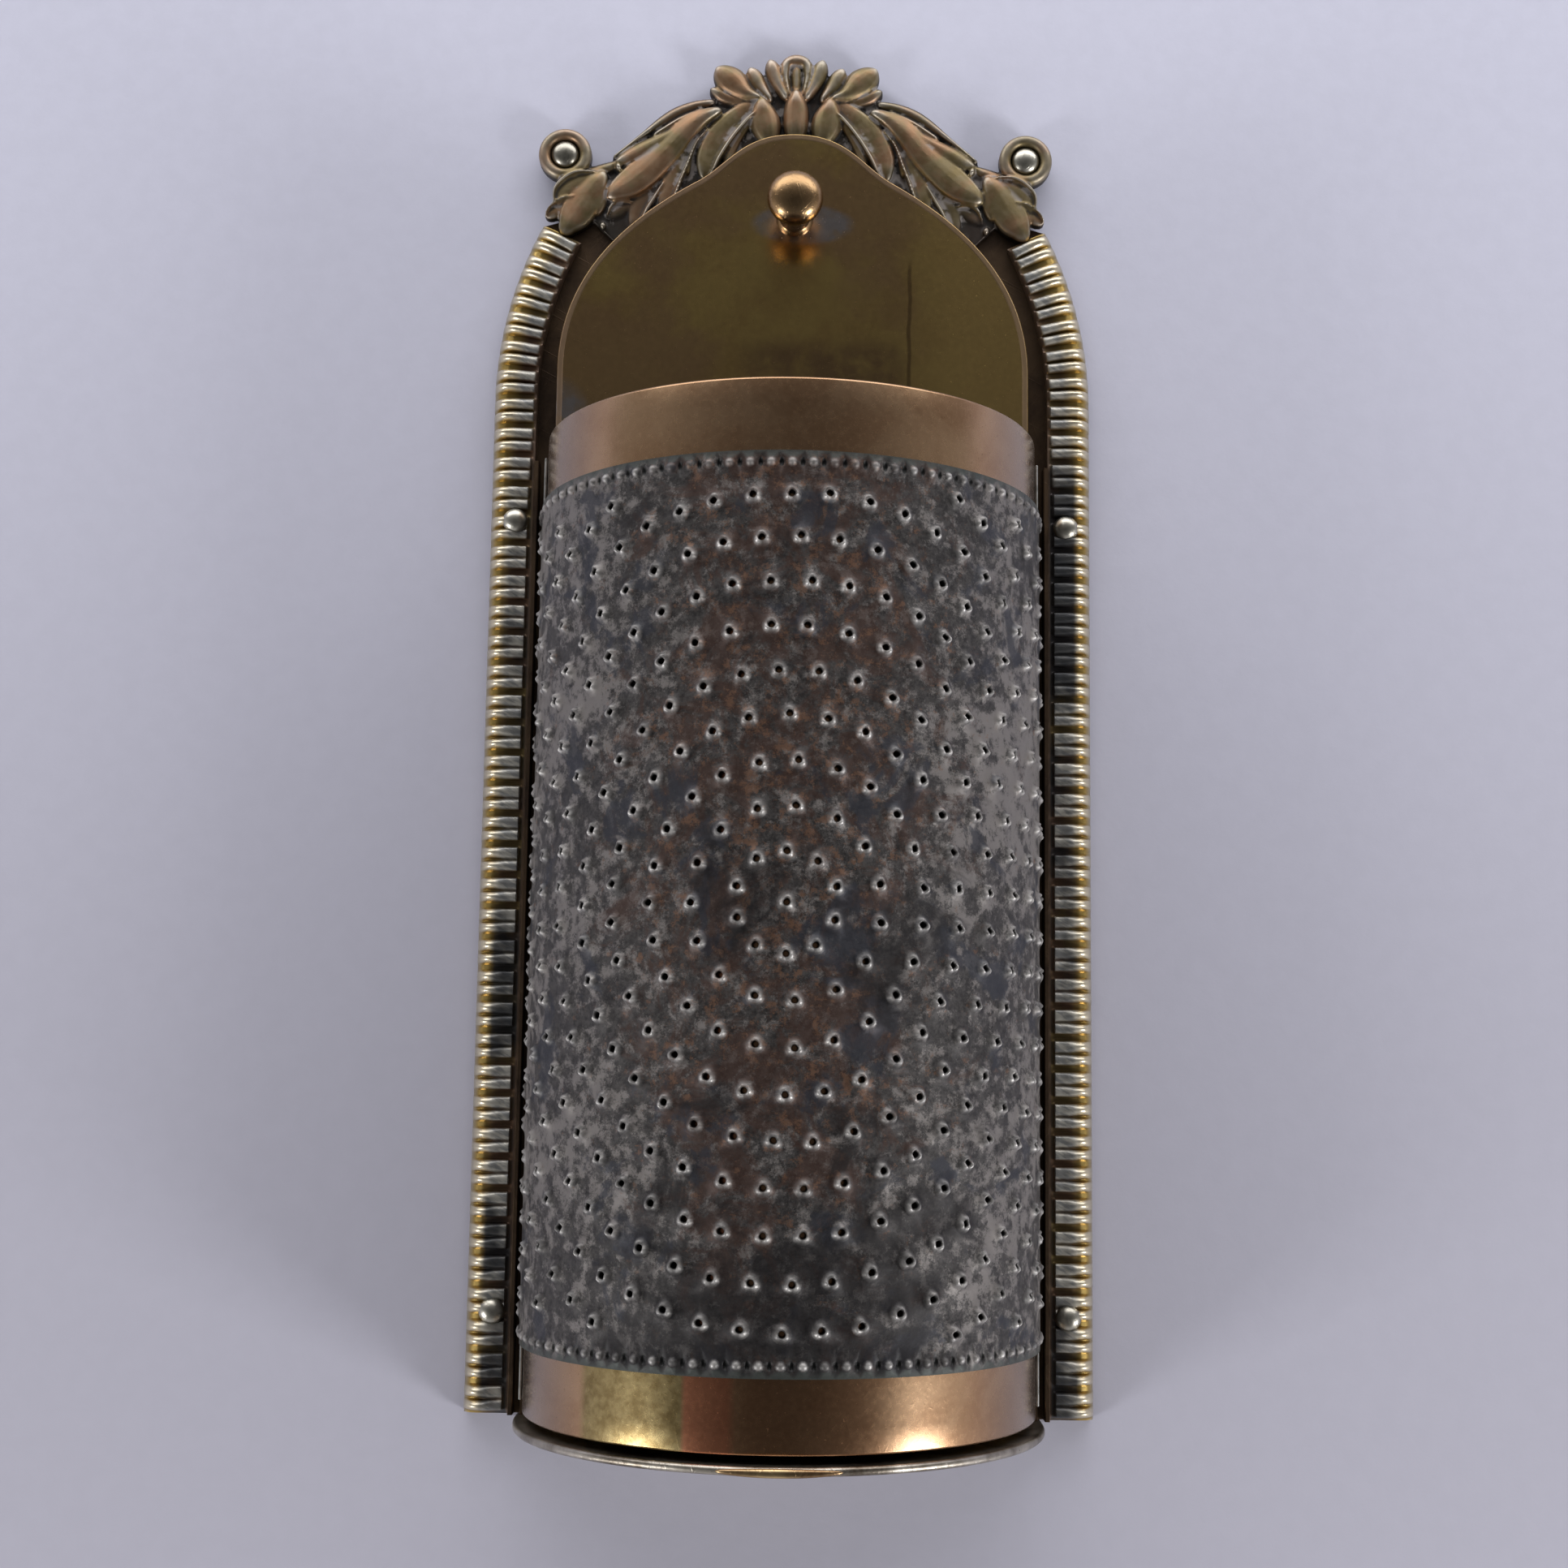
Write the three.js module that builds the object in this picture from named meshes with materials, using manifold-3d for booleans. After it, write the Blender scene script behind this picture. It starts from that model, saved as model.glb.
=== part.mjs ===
// A brass nutmeg grater with a half-round steel rasp and a sliding brass drawer behind it.
// It lies on its back: +Z points out of the rasp, +Y towards the leaf crest.
// Lengths are in millimetres. Heights along Y start at the lower end of the two rails.

import * as THREE from 'three';
import { mergeGeometries, mergeVertices } from 'three/addons/utils/BufferGeometryUtils.js';
import Module from 'manifold-3d';

const wasm = await Module();
wasm.setup();

// Drawer: a half-round shell on a flat back plate with an ogee top
const drawerRadius = 23.05;
const drawerWall = 0.5;
const drawerFootGap = 0.7;
const lowerBandWidth = 6.1;
const upperBandWidth = 6.6;
const plateThickness = 0.6;
const plateStraightPastMouth = 7.6;
const plateShoulderPull = 8.5;
const plateArchRise = 19.1;
const plateArchHalfWidth = 9.5;
const plateHaunchOut = 8.1;
const plateHaunchDrop = 4.6;
const plateThroatRatio = 0.37;
const plateTipRise = 4.9;
const plateTipPull = 5.2;
const floorThickness = 0.8;
const floorInset = 0.4;

// Knob on the back plate
const knobRadius = 2.65;
const knobNeckRadius = 1.15;
const knobNeckLength = 1.3;
const knobFootRadius = 1.8;
const knobFootThickness = 0.45;
const knobShankRadius = 0.85;
const knobBelowPlateTip = 8.6;

// Rasp: a half-round steel sheet around the drawer
const sheetThickness = 0.35;
const raspLength = 76.7;
const firstRingRadius = 4.3;
const firstRingTeeth = 10;
const ringPitch = 3.8;
const toothSpacing = 3.3;
const toothRadius = 0.95;
const toothHeight = 0.5;
const toothMargin = 1.6;
const beadSpacing = 1.8;
const beadInset = 1.0;
const beadRadius = 0.55;
const beadHeight = 0.35;
const tongueLength = 5.3;
const tongueHeight = 1.3;
const tabFiling = 0.05;
const earWidth = 4.4;
const earMargin = 1.3;

// Guide strips, borders and the frame plate under them
const frameThickness = 1.0;
const guideBarWidth = 2.6;
const guideHeight = 1.6;
const guideFloor = 0.4;
const guideChannelWidth = 0.6;
const guideLipWidth = 0.45;
const guideLipHeight = 2.0;
const borderWidth = 4.15;
const crossBarWidth = 3.5;
const windowShoulderDrop = 3.0;
const railPastMouth = 5.1;
const shoulderRadius = 37.4;
const shoulderAngle = THREE.MathUtils.degToRad(26.7);
const archInset = 0.6;
const archCentreRise = 6.5;
const archStartAngle = THREE.MathUtils.degToRad(31);
const gadroonPitch = 2.9;
const ridgeHeight = 2.4;
const shallowHeight = 2.05;
const grooveHeight = 1.5;
const sinkShare = 0.8;

// Rivets that hold the rasp's ears under the rails
const rivetInset = 0.4;
const rivetAboveRaspStart = 2.4;
const rivetBelowRaspEnd = 0.6;
const rivetHeadRadius = 1.2;
const rivetHeadHeight = 0.9;
const rivetSeatDepth = 0.55;
const rivetShankRadius = 0.65;
const rivetTailRadius = 1.25;
const rivetTailThickness = 0.35;

// Base plate below the drawer
const basePlateThickness = 0.75;
const basePlateOverhang = 0.4;
const baseLipHalfWidth = 5.1;
const baseLipReach = 0.55;

// Crest, drawn in units of about a millimetre from the middle line and the borders' ends
const crestSideInset = 3.58;
const crestDrawnUnits = 25.17;
const voluteDrawnX = 22.57;
const voluteDrawnY = 7.98;
const voluteDrawnRadius = 2.6;
const palmetteDrawnY = 14.6;
const palmetteDrawnRadius = 3.4;
const crestGroundHeight = 0.45;
const crestGroundWidth = 6.7;
const crestGroundInset = 0.3;
const crestGroundDrop = 2.0;
const voluteBack = 0.3;
const voluteRimWidth = 1.0;
const voluteRimDrop = 0.2;
const voluteDishDepth = 1.4;
const pinClearance = 0.3;

// Named clearances
const slideClearance = 0.15;
const runningGap = 0.3;
const cutGap = 0.3;
const seatGap = 0.1;

// Faces closer to one plane than this count as flat
const meshTolerance = 0.001;

// An arc is drawn with twice this many facets
const arcSegments = 10;
const smallArcSegments = 6;
const roundSides = 16;
const smallRoundSides = 12;

// Heights worked out from the sizes above
const guideTop = frameThickness + guideHeight;
const axisHeight = guideTop + runningGap;
const plateTop = axisHeight + plateThickness;
const borderTop = frameThickness + ridgeHeight;
const crestTop = guideTop;
const crestRelief = crestTop - frameThickness;
const earTop = frameThickness - seatGap;
const earBottom = earTop - sheetThickness;

// Radii and widths
const drawerInnerRadius = drawerRadius - drawerWall;
const insideRadius = drawerInnerRadius - cutGap;
const raspInnerRadius = drawerRadius + slideClearance;
const raspOuterRadius = raspInnerRadius + sheetThickness;
const windowHalfWidth = raspOuterRadius - guideBarWidth;
const borderInnerX = raspOuterRadius + guideChannelWidth + guideLipWidth;
const borderCentreX = borderInnerX + borderWidth / 2;
const railOuterX = borderInnerX + borderWidth;
const rivetX = borderCentreX - rivetInset;
const basePlateRadius = raspOuterRadius + basePlateOverhang;

// Places along the rails
const drawerStartY = drawerFootGap;
const raspStartY = drawerStartY + lowerBandWidth;
const raspEndY = raspStartY + raspLength;
const raspMiddleY = (raspStartY + raspEndY) / 2;
const drawerEndY = raspEndY + upperBandWidth;
const guideEndY = raspEndY + tongueLength;
const plateShoulderY = drawerEndY + plateStraightPastMouth;
const plateTipY = plateShoulderY + plateArchRise + plateTipRise;
const knobY = plateTipY - knobBelowPlateTip;
const rivetPlaces = [raspStartY + rivetAboveRaspStart, raspEndY - rivetBelowRaspEnd];

// Shoulders, arch and crest
const shoulderStartY = drawerEndY + railPastMouth;
const shoulderCentreX = borderCentreX - shoulderRadius;
const borderLength = shoulderStartY + shoulderRadius * shoulderAngle;
const borderEndY = shoulderStartY + shoulderRadius * Math.sin(shoulderAngle);
const archRadius = borderInnerX - archInset;
const archCentreY = shoulderStartY + archCentreRise;
const crestUnit = (railOuterX - crestSideInset) / crestDrawnUnits;
const voluteX = voluteDrawnX * crestUnit;
const voluteY = borderEndY + voluteDrawnY * crestUnit;
const voluteRadius = voluteDrawnRadius * crestUnit;
const voluteDishRadius = voluteRadius - voluteRimWidth;
const voluteDishTop = crestTop - voluteDishDepth;
const pinRadius = voluteDishRadius - pinClearance;

const brass = (color, roughness) => new THREE.MeshStandardMaterial({ color, roughness, metalness: 1 });
const bandBrass = brass(0x8a6a3c, 0.35);
const plateBrass = brass(0x6b5426, 0.3);
const borderBrass = brass(0x9a8f6c, 0.4);
const crestBrass = brass(0x7a6238, 0.45);
const frameBrass = brass(0x5c4a2a, 0.5);
const knobBrass = brass(0x9c7a3e, 0.25);
const greyBrass = brass(0x8d8777, 0.4);
const steel = new THREE.MeshStandardMaterial({ color: 0x4a4644, roughness: 0.6, metalness: 0.9 });

const group = new THREE.Group();

function addPiece(name, geometry, material) {
  const mesh = new THREE.Mesh(geometry, material);
  mesh.name = name;
  group.add(mesh);
  return mesh;
}

// Boolean helpers

function weld(geometry) {
  const bare = geometry.clone();
  bare.deleteAttribute('normal');
  bare.deleteAttribute('uv');
  return mergeVertices(bare, 1e-5);
}

function solid(geometry) {
  const welded = weld(geometry);
  return new wasm.Manifold(new wasm.Mesh({
    numProp: 3,
    vertProperties: Float32Array.from(welded.attributes.position.array),
    triVerts: Uint32Array.from(welded.index.array),
    tolerance: meshTolerance,
  }));
}

function geometryOf(manifold) {
  const mesh = manifold.getMesh();
  const geometry = new THREE.BufferGeometry();
  geometry.setAttribute('position', new THREE.BufferAttribute(Float32Array.from(mesh.vertProperties), 3));
  geometry.setIndex(new THREE.BufferAttribute(Uint32Array.from(mesh.triVerts), 1));
  geometry.computeVertexNormals();
  return geometry;
}

const joined = (geometries) => geometries.map(solid).reduce((sum, next) => sum.add(next));

const cutFrom = (body, geometries) => geometries.map(solid).reduce((rest, next) => rest.subtract(next), body);

function mirrored(geometry) {
  const copy = geometry.index ? geometry.clone() : mergeVertices(geometry);
  copy.scale(-1, 1, 1);
  const index = copy.index;
  for (let i = 0; i < index.count; i += 3) {
    const second = index.getX(i + 1);
    index.setX(i + 1, index.getX(i + 2));
    index.setX(i + 2, second);
  }
  return copy;
}

// Basic shapes

const point = (x, y) => new THREE.Vector2(x, y);

function upright(shape, fromZ, toZ, curveSegments = arcSegments) {
  const options = { depth: toZ - fromZ, curveSegments, bevelEnabled: false };
  return new THREE.ExtrudeGeometry(shape, options).translate(0, 0, fromZ);
}

// The shape's own y becomes the height z, and the solid runs along Y.
function lengthwise(shape, fromY, toY) {
  return upright(shape, 0, toY - fromY).rotateX(Math.PI / 2).translate(0, toY, 0);
}

// A box between two values on each axis, given in either order.
function block(x1, x2, y1, y2, z1, z2) {
  const box = new THREE.BoxGeometry(Math.abs(x2 - x1), Math.abs(y2 - y1), Math.abs(z2 - z1));
  return box.translate((x1 + x2) / 2, (y1 + y2) / 2, (z1 + z2) / 2);
}

function disc(x, y, radius, fromZ, toZ, sides = smallRoundSides) {
  const cylinder = new THREE.CylinderGeometry(radius, radius, toZ - fromZ, sides).rotateX(Math.PI / 2);
  return cylinder.translate(x, y, (fromZ + toZ) / 2);
}

function turned(profile, sides) {
  const points = profile.map(([radius, height]) => point(radius, height));
  return new THREE.LatheGeometry(points, sides).rotateX(Math.PI / 2);
}

// Points of a dome's profile from just above its foot to just below its top.
function domePoints(radius, footHeight, height, rings) {
  const points = [];
  for (let i = 1; i < rings; i++) {
    const angle = (i / rings) * (Math.PI / 2);
    points.push([radius * Math.cos(angle), footHeight + height * Math.sin(angle)]);
  }
  return points;
}

// Joins closed sections of equal point counts, with flat ends.
function loft(sections) {
  const ring = sections[0].length;
  const index = [];
  for (let section = 0; section < sections.length - 1; section++) {
    for (let i = 0; i < ring; i++) {
      const a = section * ring + i;
      const b = section * ring + ((i + 1) % ring);
      index.push(a, b, a + ring, b, b + ring, a + ring);
    }
  }
  const last = (sections.length - 1) * ring;
  for (let i = 1; i < ring - 1; i++) {
    index.push(0, i + 1, i);
    index.push(last, last + i, last + i + 1);
  }
  const geometry = new THREE.BufferGeometry();
  geometry.setAttribute('position', new THREE.Float32BufferAttribute(sections.flat(2), 3));
  geometry.setIndex(index);
  return geometry;
}

function halfRing(outer, inner, skirt) {
  const shape = new THREE.Shape();
  shape.moveTo(outer, -skirt);
  shape.lineTo(outer, 0);
  shape.absarc(0, 0, outer, 0, Math.PI, false);
  shape.lineTo(-outer, -skirt);
  shape.lineTo(-inner, -skirt);
  shape.lineTo(-inner, 0);
  shape.absarc(0, 0, inner, Math.PI, 0, true);
  shape.lineTo(inner, -skirt);
  return shape;
}

function halfDisc(radius, skirt) {
  const shape = new THREE.Shape();
  shape.moveTo(-radius, -skirt);
  shape.lineTo(radius, -skirt);
  shape.lineTo(radius, 0);
  shape.absarc(0, 0, radius, 0, Math.PI, false);
  return shape;
}

// Drawer

function drawerShell() {
  const shape = halfRing(drawerRadius, drawerInnerRadius, 0);
  return lengthwise(shape, drawerStartY, drawerEndY).translate(0, 0, axisHeight);
}

// The plate's right edge rises straight, bends in at the haunch and ends in the ogee's tip.
function plateEdge() {
  const corner = point(plateArchHalfWidth, plateShoulderY + plateArchRise);
  const haunch = point(plateHaunchOut, -plateHaunchDrop);
  const shoulder = point(insideRadius, plateShoulderY);
  const lower = new THREE.CubicBezierCurve(
    shoulder, point(insideRadius, plateShoulderY + plateShoulderPull), corner.clone().add(haunch), corner);
  const throat = corner.clone().addScaledVector(haunch, -plateThroatRatio);
  const tip = point(0, plateTipY);
  const upper = new THREE.CubicBezierCurve(corner, throat, point(plateTipPull, plateTipY), tip);
  return [...lower.getPoints(arcSegments), ...upper.getPoints(smallArcSegments).slice(1)];
}

function drawerBackPlate() {
  const bottomY = drawerStartY + floorInset;
  const right = plateEdge();
  const left = right.slice(0, -1).reverse().map(({ x, y }) => point(-x, y));
  const foot = [point(-insideRadius, bottomY), point(insideRadius, bottomY)];
  const shape = new THREE.Shape([...foot, ...right, ...left]);
  const hole = new THREE.Path();
  hole.absarc(0, knobY, knobShankRadius + cutGap, 0, Math.PI * 2, false);
  shape.holes.push(hole);
  return upright(shape, axisHeight, plateTop, smallArcSegments);
}

// The part of a half disc above the back plate closes the drawer's foot.
function drawerFloor() {
  const start = drawerStartY + floorInset;
  const end = start + floorThickness;
  const whole = lengthwise(halfDisc(insideRadius, 0), start, end).translate(0, 0, axisHeight);
  const below = block(-drawerRadius, drawerRadius, start - 1, end + 1, 0, plateTop);
  return geometryOf(cutFrom(solid(whole), [below]));
}

function knob() {
  const neckTop = knobFootThickness + knobNeckLength;
  const meet = Math.asin(knobNeckRadius / knobRadius);
  const ballCentre = neckTop + knobRadius * Math.cos(meet);
  const profile = [
    [0, -plateThickness],
    [knobShankRadius, -plateThickness],
    [knobShankRadius, 0],
    [knobFootRadius, 0],
    [knobFootRadius, knobFootThickness / 2],
    [knobNeckRadius, knobFootThickness],
  ];
  const rings = 7;
  for (let i = 0; i < rings; i++) {
    const angle = meet + (Math.PI - meet) * (i / rings);
    profile.push([knobRadius * Math.sin(angle), ballCentre - knobRadius * Math.cos(angle)]);
  }
  profile.push([0, ballCentre + knobRadius]);
  return turned(profile, roundSides);
}

// Rasp

// A burr thrown up by a three-sided punch: a sharp spike with one corner towards the crest.
function punchedTooth() {
  const foot = sheetThickness / 2;
  const height = toothHeight + foot;
  const spike = new THREE.ConeGeometry(toothRadius, height, 3).rotateX(Math.PI / 2).rotateZ(Math.PI);
  return weld(spike.translate(0, 0, height / 2 - foot));
}

function edgeBead() {
  const foot = sheetThickness / 2;
  const height = beadHeight + foot;
  const cone = new THREE.ConeGeometry(beadRadius, height, 3).rotateX(Math.PI / 2);
  return weld(cone.translate(0, 0, height / 2 - foot));
}

// Moves a shape from the flat sheet onto the rolled one: across is measured along the arc.
function rolled(geometry, across, y) {
  const raised = geometry.clone().translate(0, 0, raspOuterRadius);
  return raised.rotateY(across / raspOuterRadius).translate(0, y, axisHeight);
}

// The teeth stand in rings round the sheet's middle, as far as its edges allow.
function toothPlaces() {
  const halfWidth = (raspOuterRadius * Math.PI) / 2 - toothMargin;
  const halfLength = raspLength / 2 - beadInset - toothMargin;
  const reach = Math.hypot(halfWidth, halfLength);
  const places = [[0, raspMiddleY]];
  for (let radius = firstRingRadius; radius < reach; radius += ringPitch) {
    const count = Math.max(firstRingTeeth, Math.round((Math.PI * 2 * radius) / toothSpacing));
    for (let i = 0; i < count; i++) {
      const angle = ((i + 0.5) * Math.PI * 2) / count;
      const across = radius * Math.cos(angle);
      const along = radius * Math.sin(angle);
      if (Math.abs(across) < halfWidth && Math.abs(along) < halfLength) {
        places.push([across, raspMiddleY + along]);
      }
    }
  }
  return places;
}

function raspTeeth() {
  const tooth = punchedTooth();
  return toothPlaces().map(([across, y]) => rolled(tooth, across, y));
}

function raspBeads() {
  const bead = edgeBead().rotateZ(Math.PI / 4);
  const count = Math.floor((raspOuterRadius * Math.PI) / beadSpacing);
  const beads = [];
  for (const y of [raspStartY + beadInset, raspEndY - beadInset]) {
    for (let i = 0; i < count; i++) {
      beads.push(rolled(bead, (i - (count - 1) / 2) * beadSpacing, y));
    }
  }
  return beads;
}

// Ears go down through the guide strip and turn out under the rail. Tongues lie beside the bands.
// Both are filed a little thinner than the sheet.
function raspTabs(side) {
  const near = side * (raspInnerRadius + tabFiling);
  const far = side * (raspOuterRadius - tabFiling);
  const tip = side * (rivetX + earMargin);
  const lap = sheetThickness / 2;
  const tongueBottom = guideTop + seatGap;
  const tongueTop = tongueBottom + tongueHeight;
  const tabs = [
    block(near, far, raspStartY - tongueLength, raspStartY + lap, tongueBottom, tongueTop),
    block(near, far, raspEndY - lap, raspEndY + tongueLength, tongueBottom, tongueTop),
  ];
  for (const y of rivetPlaces) {
    const from = y - earWidth / 2;
    const to = y + earWidth / 2;
    tabs.push(block(near, far, from, to, earBottom, guideTop + lap));
    tabs.push(block(near, tip, from, to, earBottom, earTop));
  }
  return tabs;
}

function raspSheet() {
  const shape = halfRing(raspOuterRadius, raspInnerRadius, runningGap);
  const sheet = lengthwise(shape, raspStartY, raspEndY).translate(0, 0, axisHeight);
  const teeth = mergeGeometries(raspTeeth());
  const beads = mergeGeometries(raspBeads());
  const body = joined([sheet, teeth, beads, ...raspTabs(1), ...raspTabs(-1)]);
  const holes = [];
  for (const side of [-1, 1]) {
    for (const y of rivetPlaces) {
      holes.push(disc(side * rivetX, y, rivetShankRadius + cutGap, 0, frameThickness));
    }
  }
  return geometryOf(cutFrom(body, holes));
}

// Frame

// A point on the border's line, a distance along it from the foot and an offset outwards.
function railPoint(distance, offset) {
  if (distance <= shoulderStartY) {
    return [borderCentreX + offset, distance];
  }
  const angle = (distance - shoulderStartY) / shoulderRadius;
  const radius = shoulderRadius + offset;
  return [shoulderCentreX + radius * Math.cos(angle), shoulderStartY + radius * Math.sin(angle)];
}

function frameOutline() {
  const outerRadius = shoulderRadius + borderWidth / 2;
  const archX = archRadius * Math.cos(archStartAngle);
  const archY = archCentreY + archRadius * Math.sin(archStartAngle);
  const [endX, endY] = railPoint(borderLength, borderWidth / 2);
  const shape = new THREE.Shape();
  shape.moveTo(-railOuterX, 0);
  shape.lineTo(railOuterX, 0);
  shape.lineTo(railOuterX, shoulderStartY);
  shape.absarc(shoulderCentreX, shoulderStartY, outerRadius, 0, shoulderAngle, false);
  shape.lineTo(archX, archY);
  shape.absarc(0, archCentreY, archRadius, archStartAngle, Math.PI - archStartAngle, false);
  shape.lineTo(-endX, endY);
  shape.absarc(-shoulderCentreX, shoulderStartY, outerRadius, Math.PI - shoulderAngle, Math.PI, false);
  return shape;
}

function frameWindow() {
  const archFootY = shoulderStartY - windowShoulderDrop;
  const path = new THREE.Path();
  path.moveTo(-windowHalfWidth, crossBarWidth);
  path.lineTo(-windowHalfWidth, archFootY);
  path.absarc(0, archFootY, windowHalfWidth, Math.PI, 0, true);
  path.lineTo(windowHalfWidth, crossBarWidth);
  return path;
}

// The slot in which an ear of the rasp turns out under the rail.
function earSlot(side, y) {
  const near = side * (raspInnerRadius - cutGap);
  const far = side * (rivetX + earMargin + cutGap);
  const halfLength = earWidth / 2 + cutGap;
  return block(near, far, y - halfLength, y + halfLength, -1, frameThickness + 1);
}

function framePlate() {
  const shape = frameOutline();
  shape.holes.push(frameWindow());
  const plate = solid(upright(shape, 0, frameThickness, smallArcSegments));
  const slots = [-1, 1].flatMap((side) => rivetPlaces.map((y) => earSlot(side, y)));
  return geometryOf(cutFrom(plate, slots));
}

// A U-shaped strip: the drawer's plate and the rasp's edge rest over its inner bar.
function guideStrip() {
  const lipInnerX = borderInnerX - guideLipWidth;
  const shape = new THREE.Shape();
  shape.moveTo(windowHalfWidth, 0);
  shape.lineTo(borderInnerX, 0);
  shape.lineTo(borderInnerX, guideLipHeight);
  shape.lineTo(lipInnerX, guideLipHeight);
  shape.lineTo(lipInnerX, guideFloor);
  shape.lineTo(raspOuterRadius, guideFloor);
  shape.lineTo(raspOuterRadius, guideHeight);
  shape.lineTo(windowHalfWidth, guideHeight);
  const strip = solid(lengthwise(shape, 0, guideEndY).translate(0, 0, frameThickness));
  const halfLength = earWidth / 2 + cutGap;
  const near = raspInnerRadius - cutGap;
  const far = raspOuterRadius + cutGap;
  const slots = rivetPlaces.map((y) => block(near, far, y - halfLength, y + halfLength, 0, guideTop + 1));
  return geometryOf(cutFrom(strip, slots));
}

// Round the shoulder the border sinks to the crest's height, so that the drawer slides out over it.
function borderSink(distance) {
  const sinkLength = shoulderRadius * shoulderAngle * sinkShare;
  const share = THREE.MathUtils.clamp((distance - shoulderStartY) / sinkLength, 0, 1);
  return THREE.MathUtils.lerp(1, crestRelief / ridgeHeight, share);
}

// Border: pairs of rounded ridges with a shallow groove in each pair and a deep one between pairs.
function gadroonBorder() {
  const pairs = Math.round(borderLength / gadroonPitch);
  const pitch = borderLength / pairs;
  const wave = [[0, grooveHeight], [0.25, ridgeHeight], [0.5, shallowHeight], [0.75, ridgeHeight]];
  const profile = [[-1, 0], [-1, 0.85], [0.3, 1], [0.8, 0.65], [1, 0]];
  const stations = [];
  for (let pair = 0; pair < pairs; pair++) {
    for (const [part, height] of wave) {
      stations.push([(pair + part) * pitch, height]);
    }
  }
  stations.push([borderLength, grooveHeight]);
  const sections = stations.map(([distance, height]) => profile.map(([across, rise]) => {
    const [x, y] = railPoint(distance, (across * borderWidth) / 2);
    return [x, y, frameThickness + rise * height * borderSink(distance)];
  }));
  const seat = borderTop - rivetSeatDepth;
  const above = borderTop + 1;
  const holes = rivetPlaces.flatMap((y) => [
    disc(rivetX, y, rivetHeadRadius + cutGap, seat, above),
    disc(rivetX, y, rivetShankRadius + cutGap, 0, above),
  ]);
  return geometryOf(cutFrom(solid(loft(sections)), holes));
}

function rivet() {
  const seat = borderTop - rivetSeatDepth;
  const profile = [
    [0, earBottom - rivetTailThickness],
    [rivetTailRadius, earBottom - rivetTailThickness],
    [rivetTailRadius, earBottom],
    [rivetShankRadius, earBottom],
    [rivetShankRadius, seat],
    [rivetHeadRadius, seat],
    ...domePoints(rivetHeadRadius, seat, rivetHeadHeight, 4),
    [0, seat + rivetHeadHeight],
  ];
  return turned(profile, smallRoundSides);
}

function basePlate() {
  const shape = halfDisc(basePlateRadius, axisHeight);
  return lengthwise(shape, -basePlateThickness, 0).translate(0, 0, axisHeight);
}

// A thin crescent on the front of the base plate's rim.
function baseLip() {
  const inner = basePlateRadius + seatGap;
  const spread = Math.asin(baseLipHalfWidth / inner);
  const steps = 10;
  const rim = (share, radius) => {
    const angle = Math.PI / 2 + spread * (2 * share - 1);
    return point(radius * Math.cos(angle), radius * Math.sin(angle));
  };
  const outline = [];
  for (let i = steps - 1; i > 0; i--) {
    outline.push(rim(1 - i / steps, inner + baseLipReach * Math.sin((Math.PI * i) / steps)));
  }
  for (let i = 0; i <= steps; i++) {
    outline.push(rim(1 - i / steps, inner));
  }
  return lengthwise(new THREE.Shape(outline), -basePlateThickness, 0).translate(0, 0, axisHeight);
}

// Crest

// A leaf or petal: a rounded ridge along a curve that swells and tapers.
// Points and half width are in crest units, relief is a share of the crest's height.
// A blunt lobe is widest near its far end, a sharp one in the middle.
function lobe(points, halfWidth, relief, blunt = 0) {
  const places = points.map(([x, y]) => new THREE.Vector3(x * crestUnit, borderEndY + y * crestUnit, 0));
  const curve = new THREE.CatmullRomCurve3(places);
  const profile = [[-1, 0], [-0.5, 0.9], [0.4, 0.95], [1, 0]];
  const steps = 5;
  const sections = [];
  for (let step = 0; step <= steps; step++) {
    const t = step / steps;
    const place = curve.getPointAt(t);
    const tangent = curve.getTangentAt(t);
    const sharpSwell = Math.sin(Math.PI * (0.08 + 0.84 * t));
    const bluntSwell = Math.sin(Math.PI * (0.1 + 0.62 * t));
    const swell = THREE.MathUtils.lerp(sharpSwell, bluntSwell, blunt);
    const height = relief * crestRelief * (0.4 + 0.6 * swell);
    sections.push(profile.map(([across, rise]) => {
      const offset = across * halfWidth * crestUnit * swell;
      return [place.x + tangent.y * offset, place.y - tangent.x * offset, frameThickness + rise * height];
    }));
  }
  return loft(sections);
}

// The right half's outer leaf, long leaf with its side leaves, and the leaf beside the bud.
function leafLobes() {
  return [
    lobe([[7.5, 13.2], [11.8, 11.8], [15.2, 9.1], [17.3, 6.8]], 0.95, 0.7),
    lobe([[3.8, 13.4], [8.0, 11.4], [12.3, 9.6], [15.0, 7.3], [16.6, 4.4]], 1.5, 0.95, 1),
    lobe([[9.2, 10.4], [12.4, 8.2], [14.0, 4.8]], 1.0, 0.62),
    lobe([[9.5, 10.2], [11.4, 7.6], [12.0, 5.0]], 0.6, 0.78),
    lobe([[2.6, 13.2], [5.4, 13.0], [8.2, 10.2], [9.0, 6.0]], 1.15, 0.94, 0.6),
    lobe([[5.0, 11.8], [6.4, 9.2], [6.8, 6.4]], 0.9, 0.56),
    lobe([[2.3, 13.7], [3.0, 12.0], [4.0, 10.0]], 1.45, 1),
  ];
}

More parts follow.
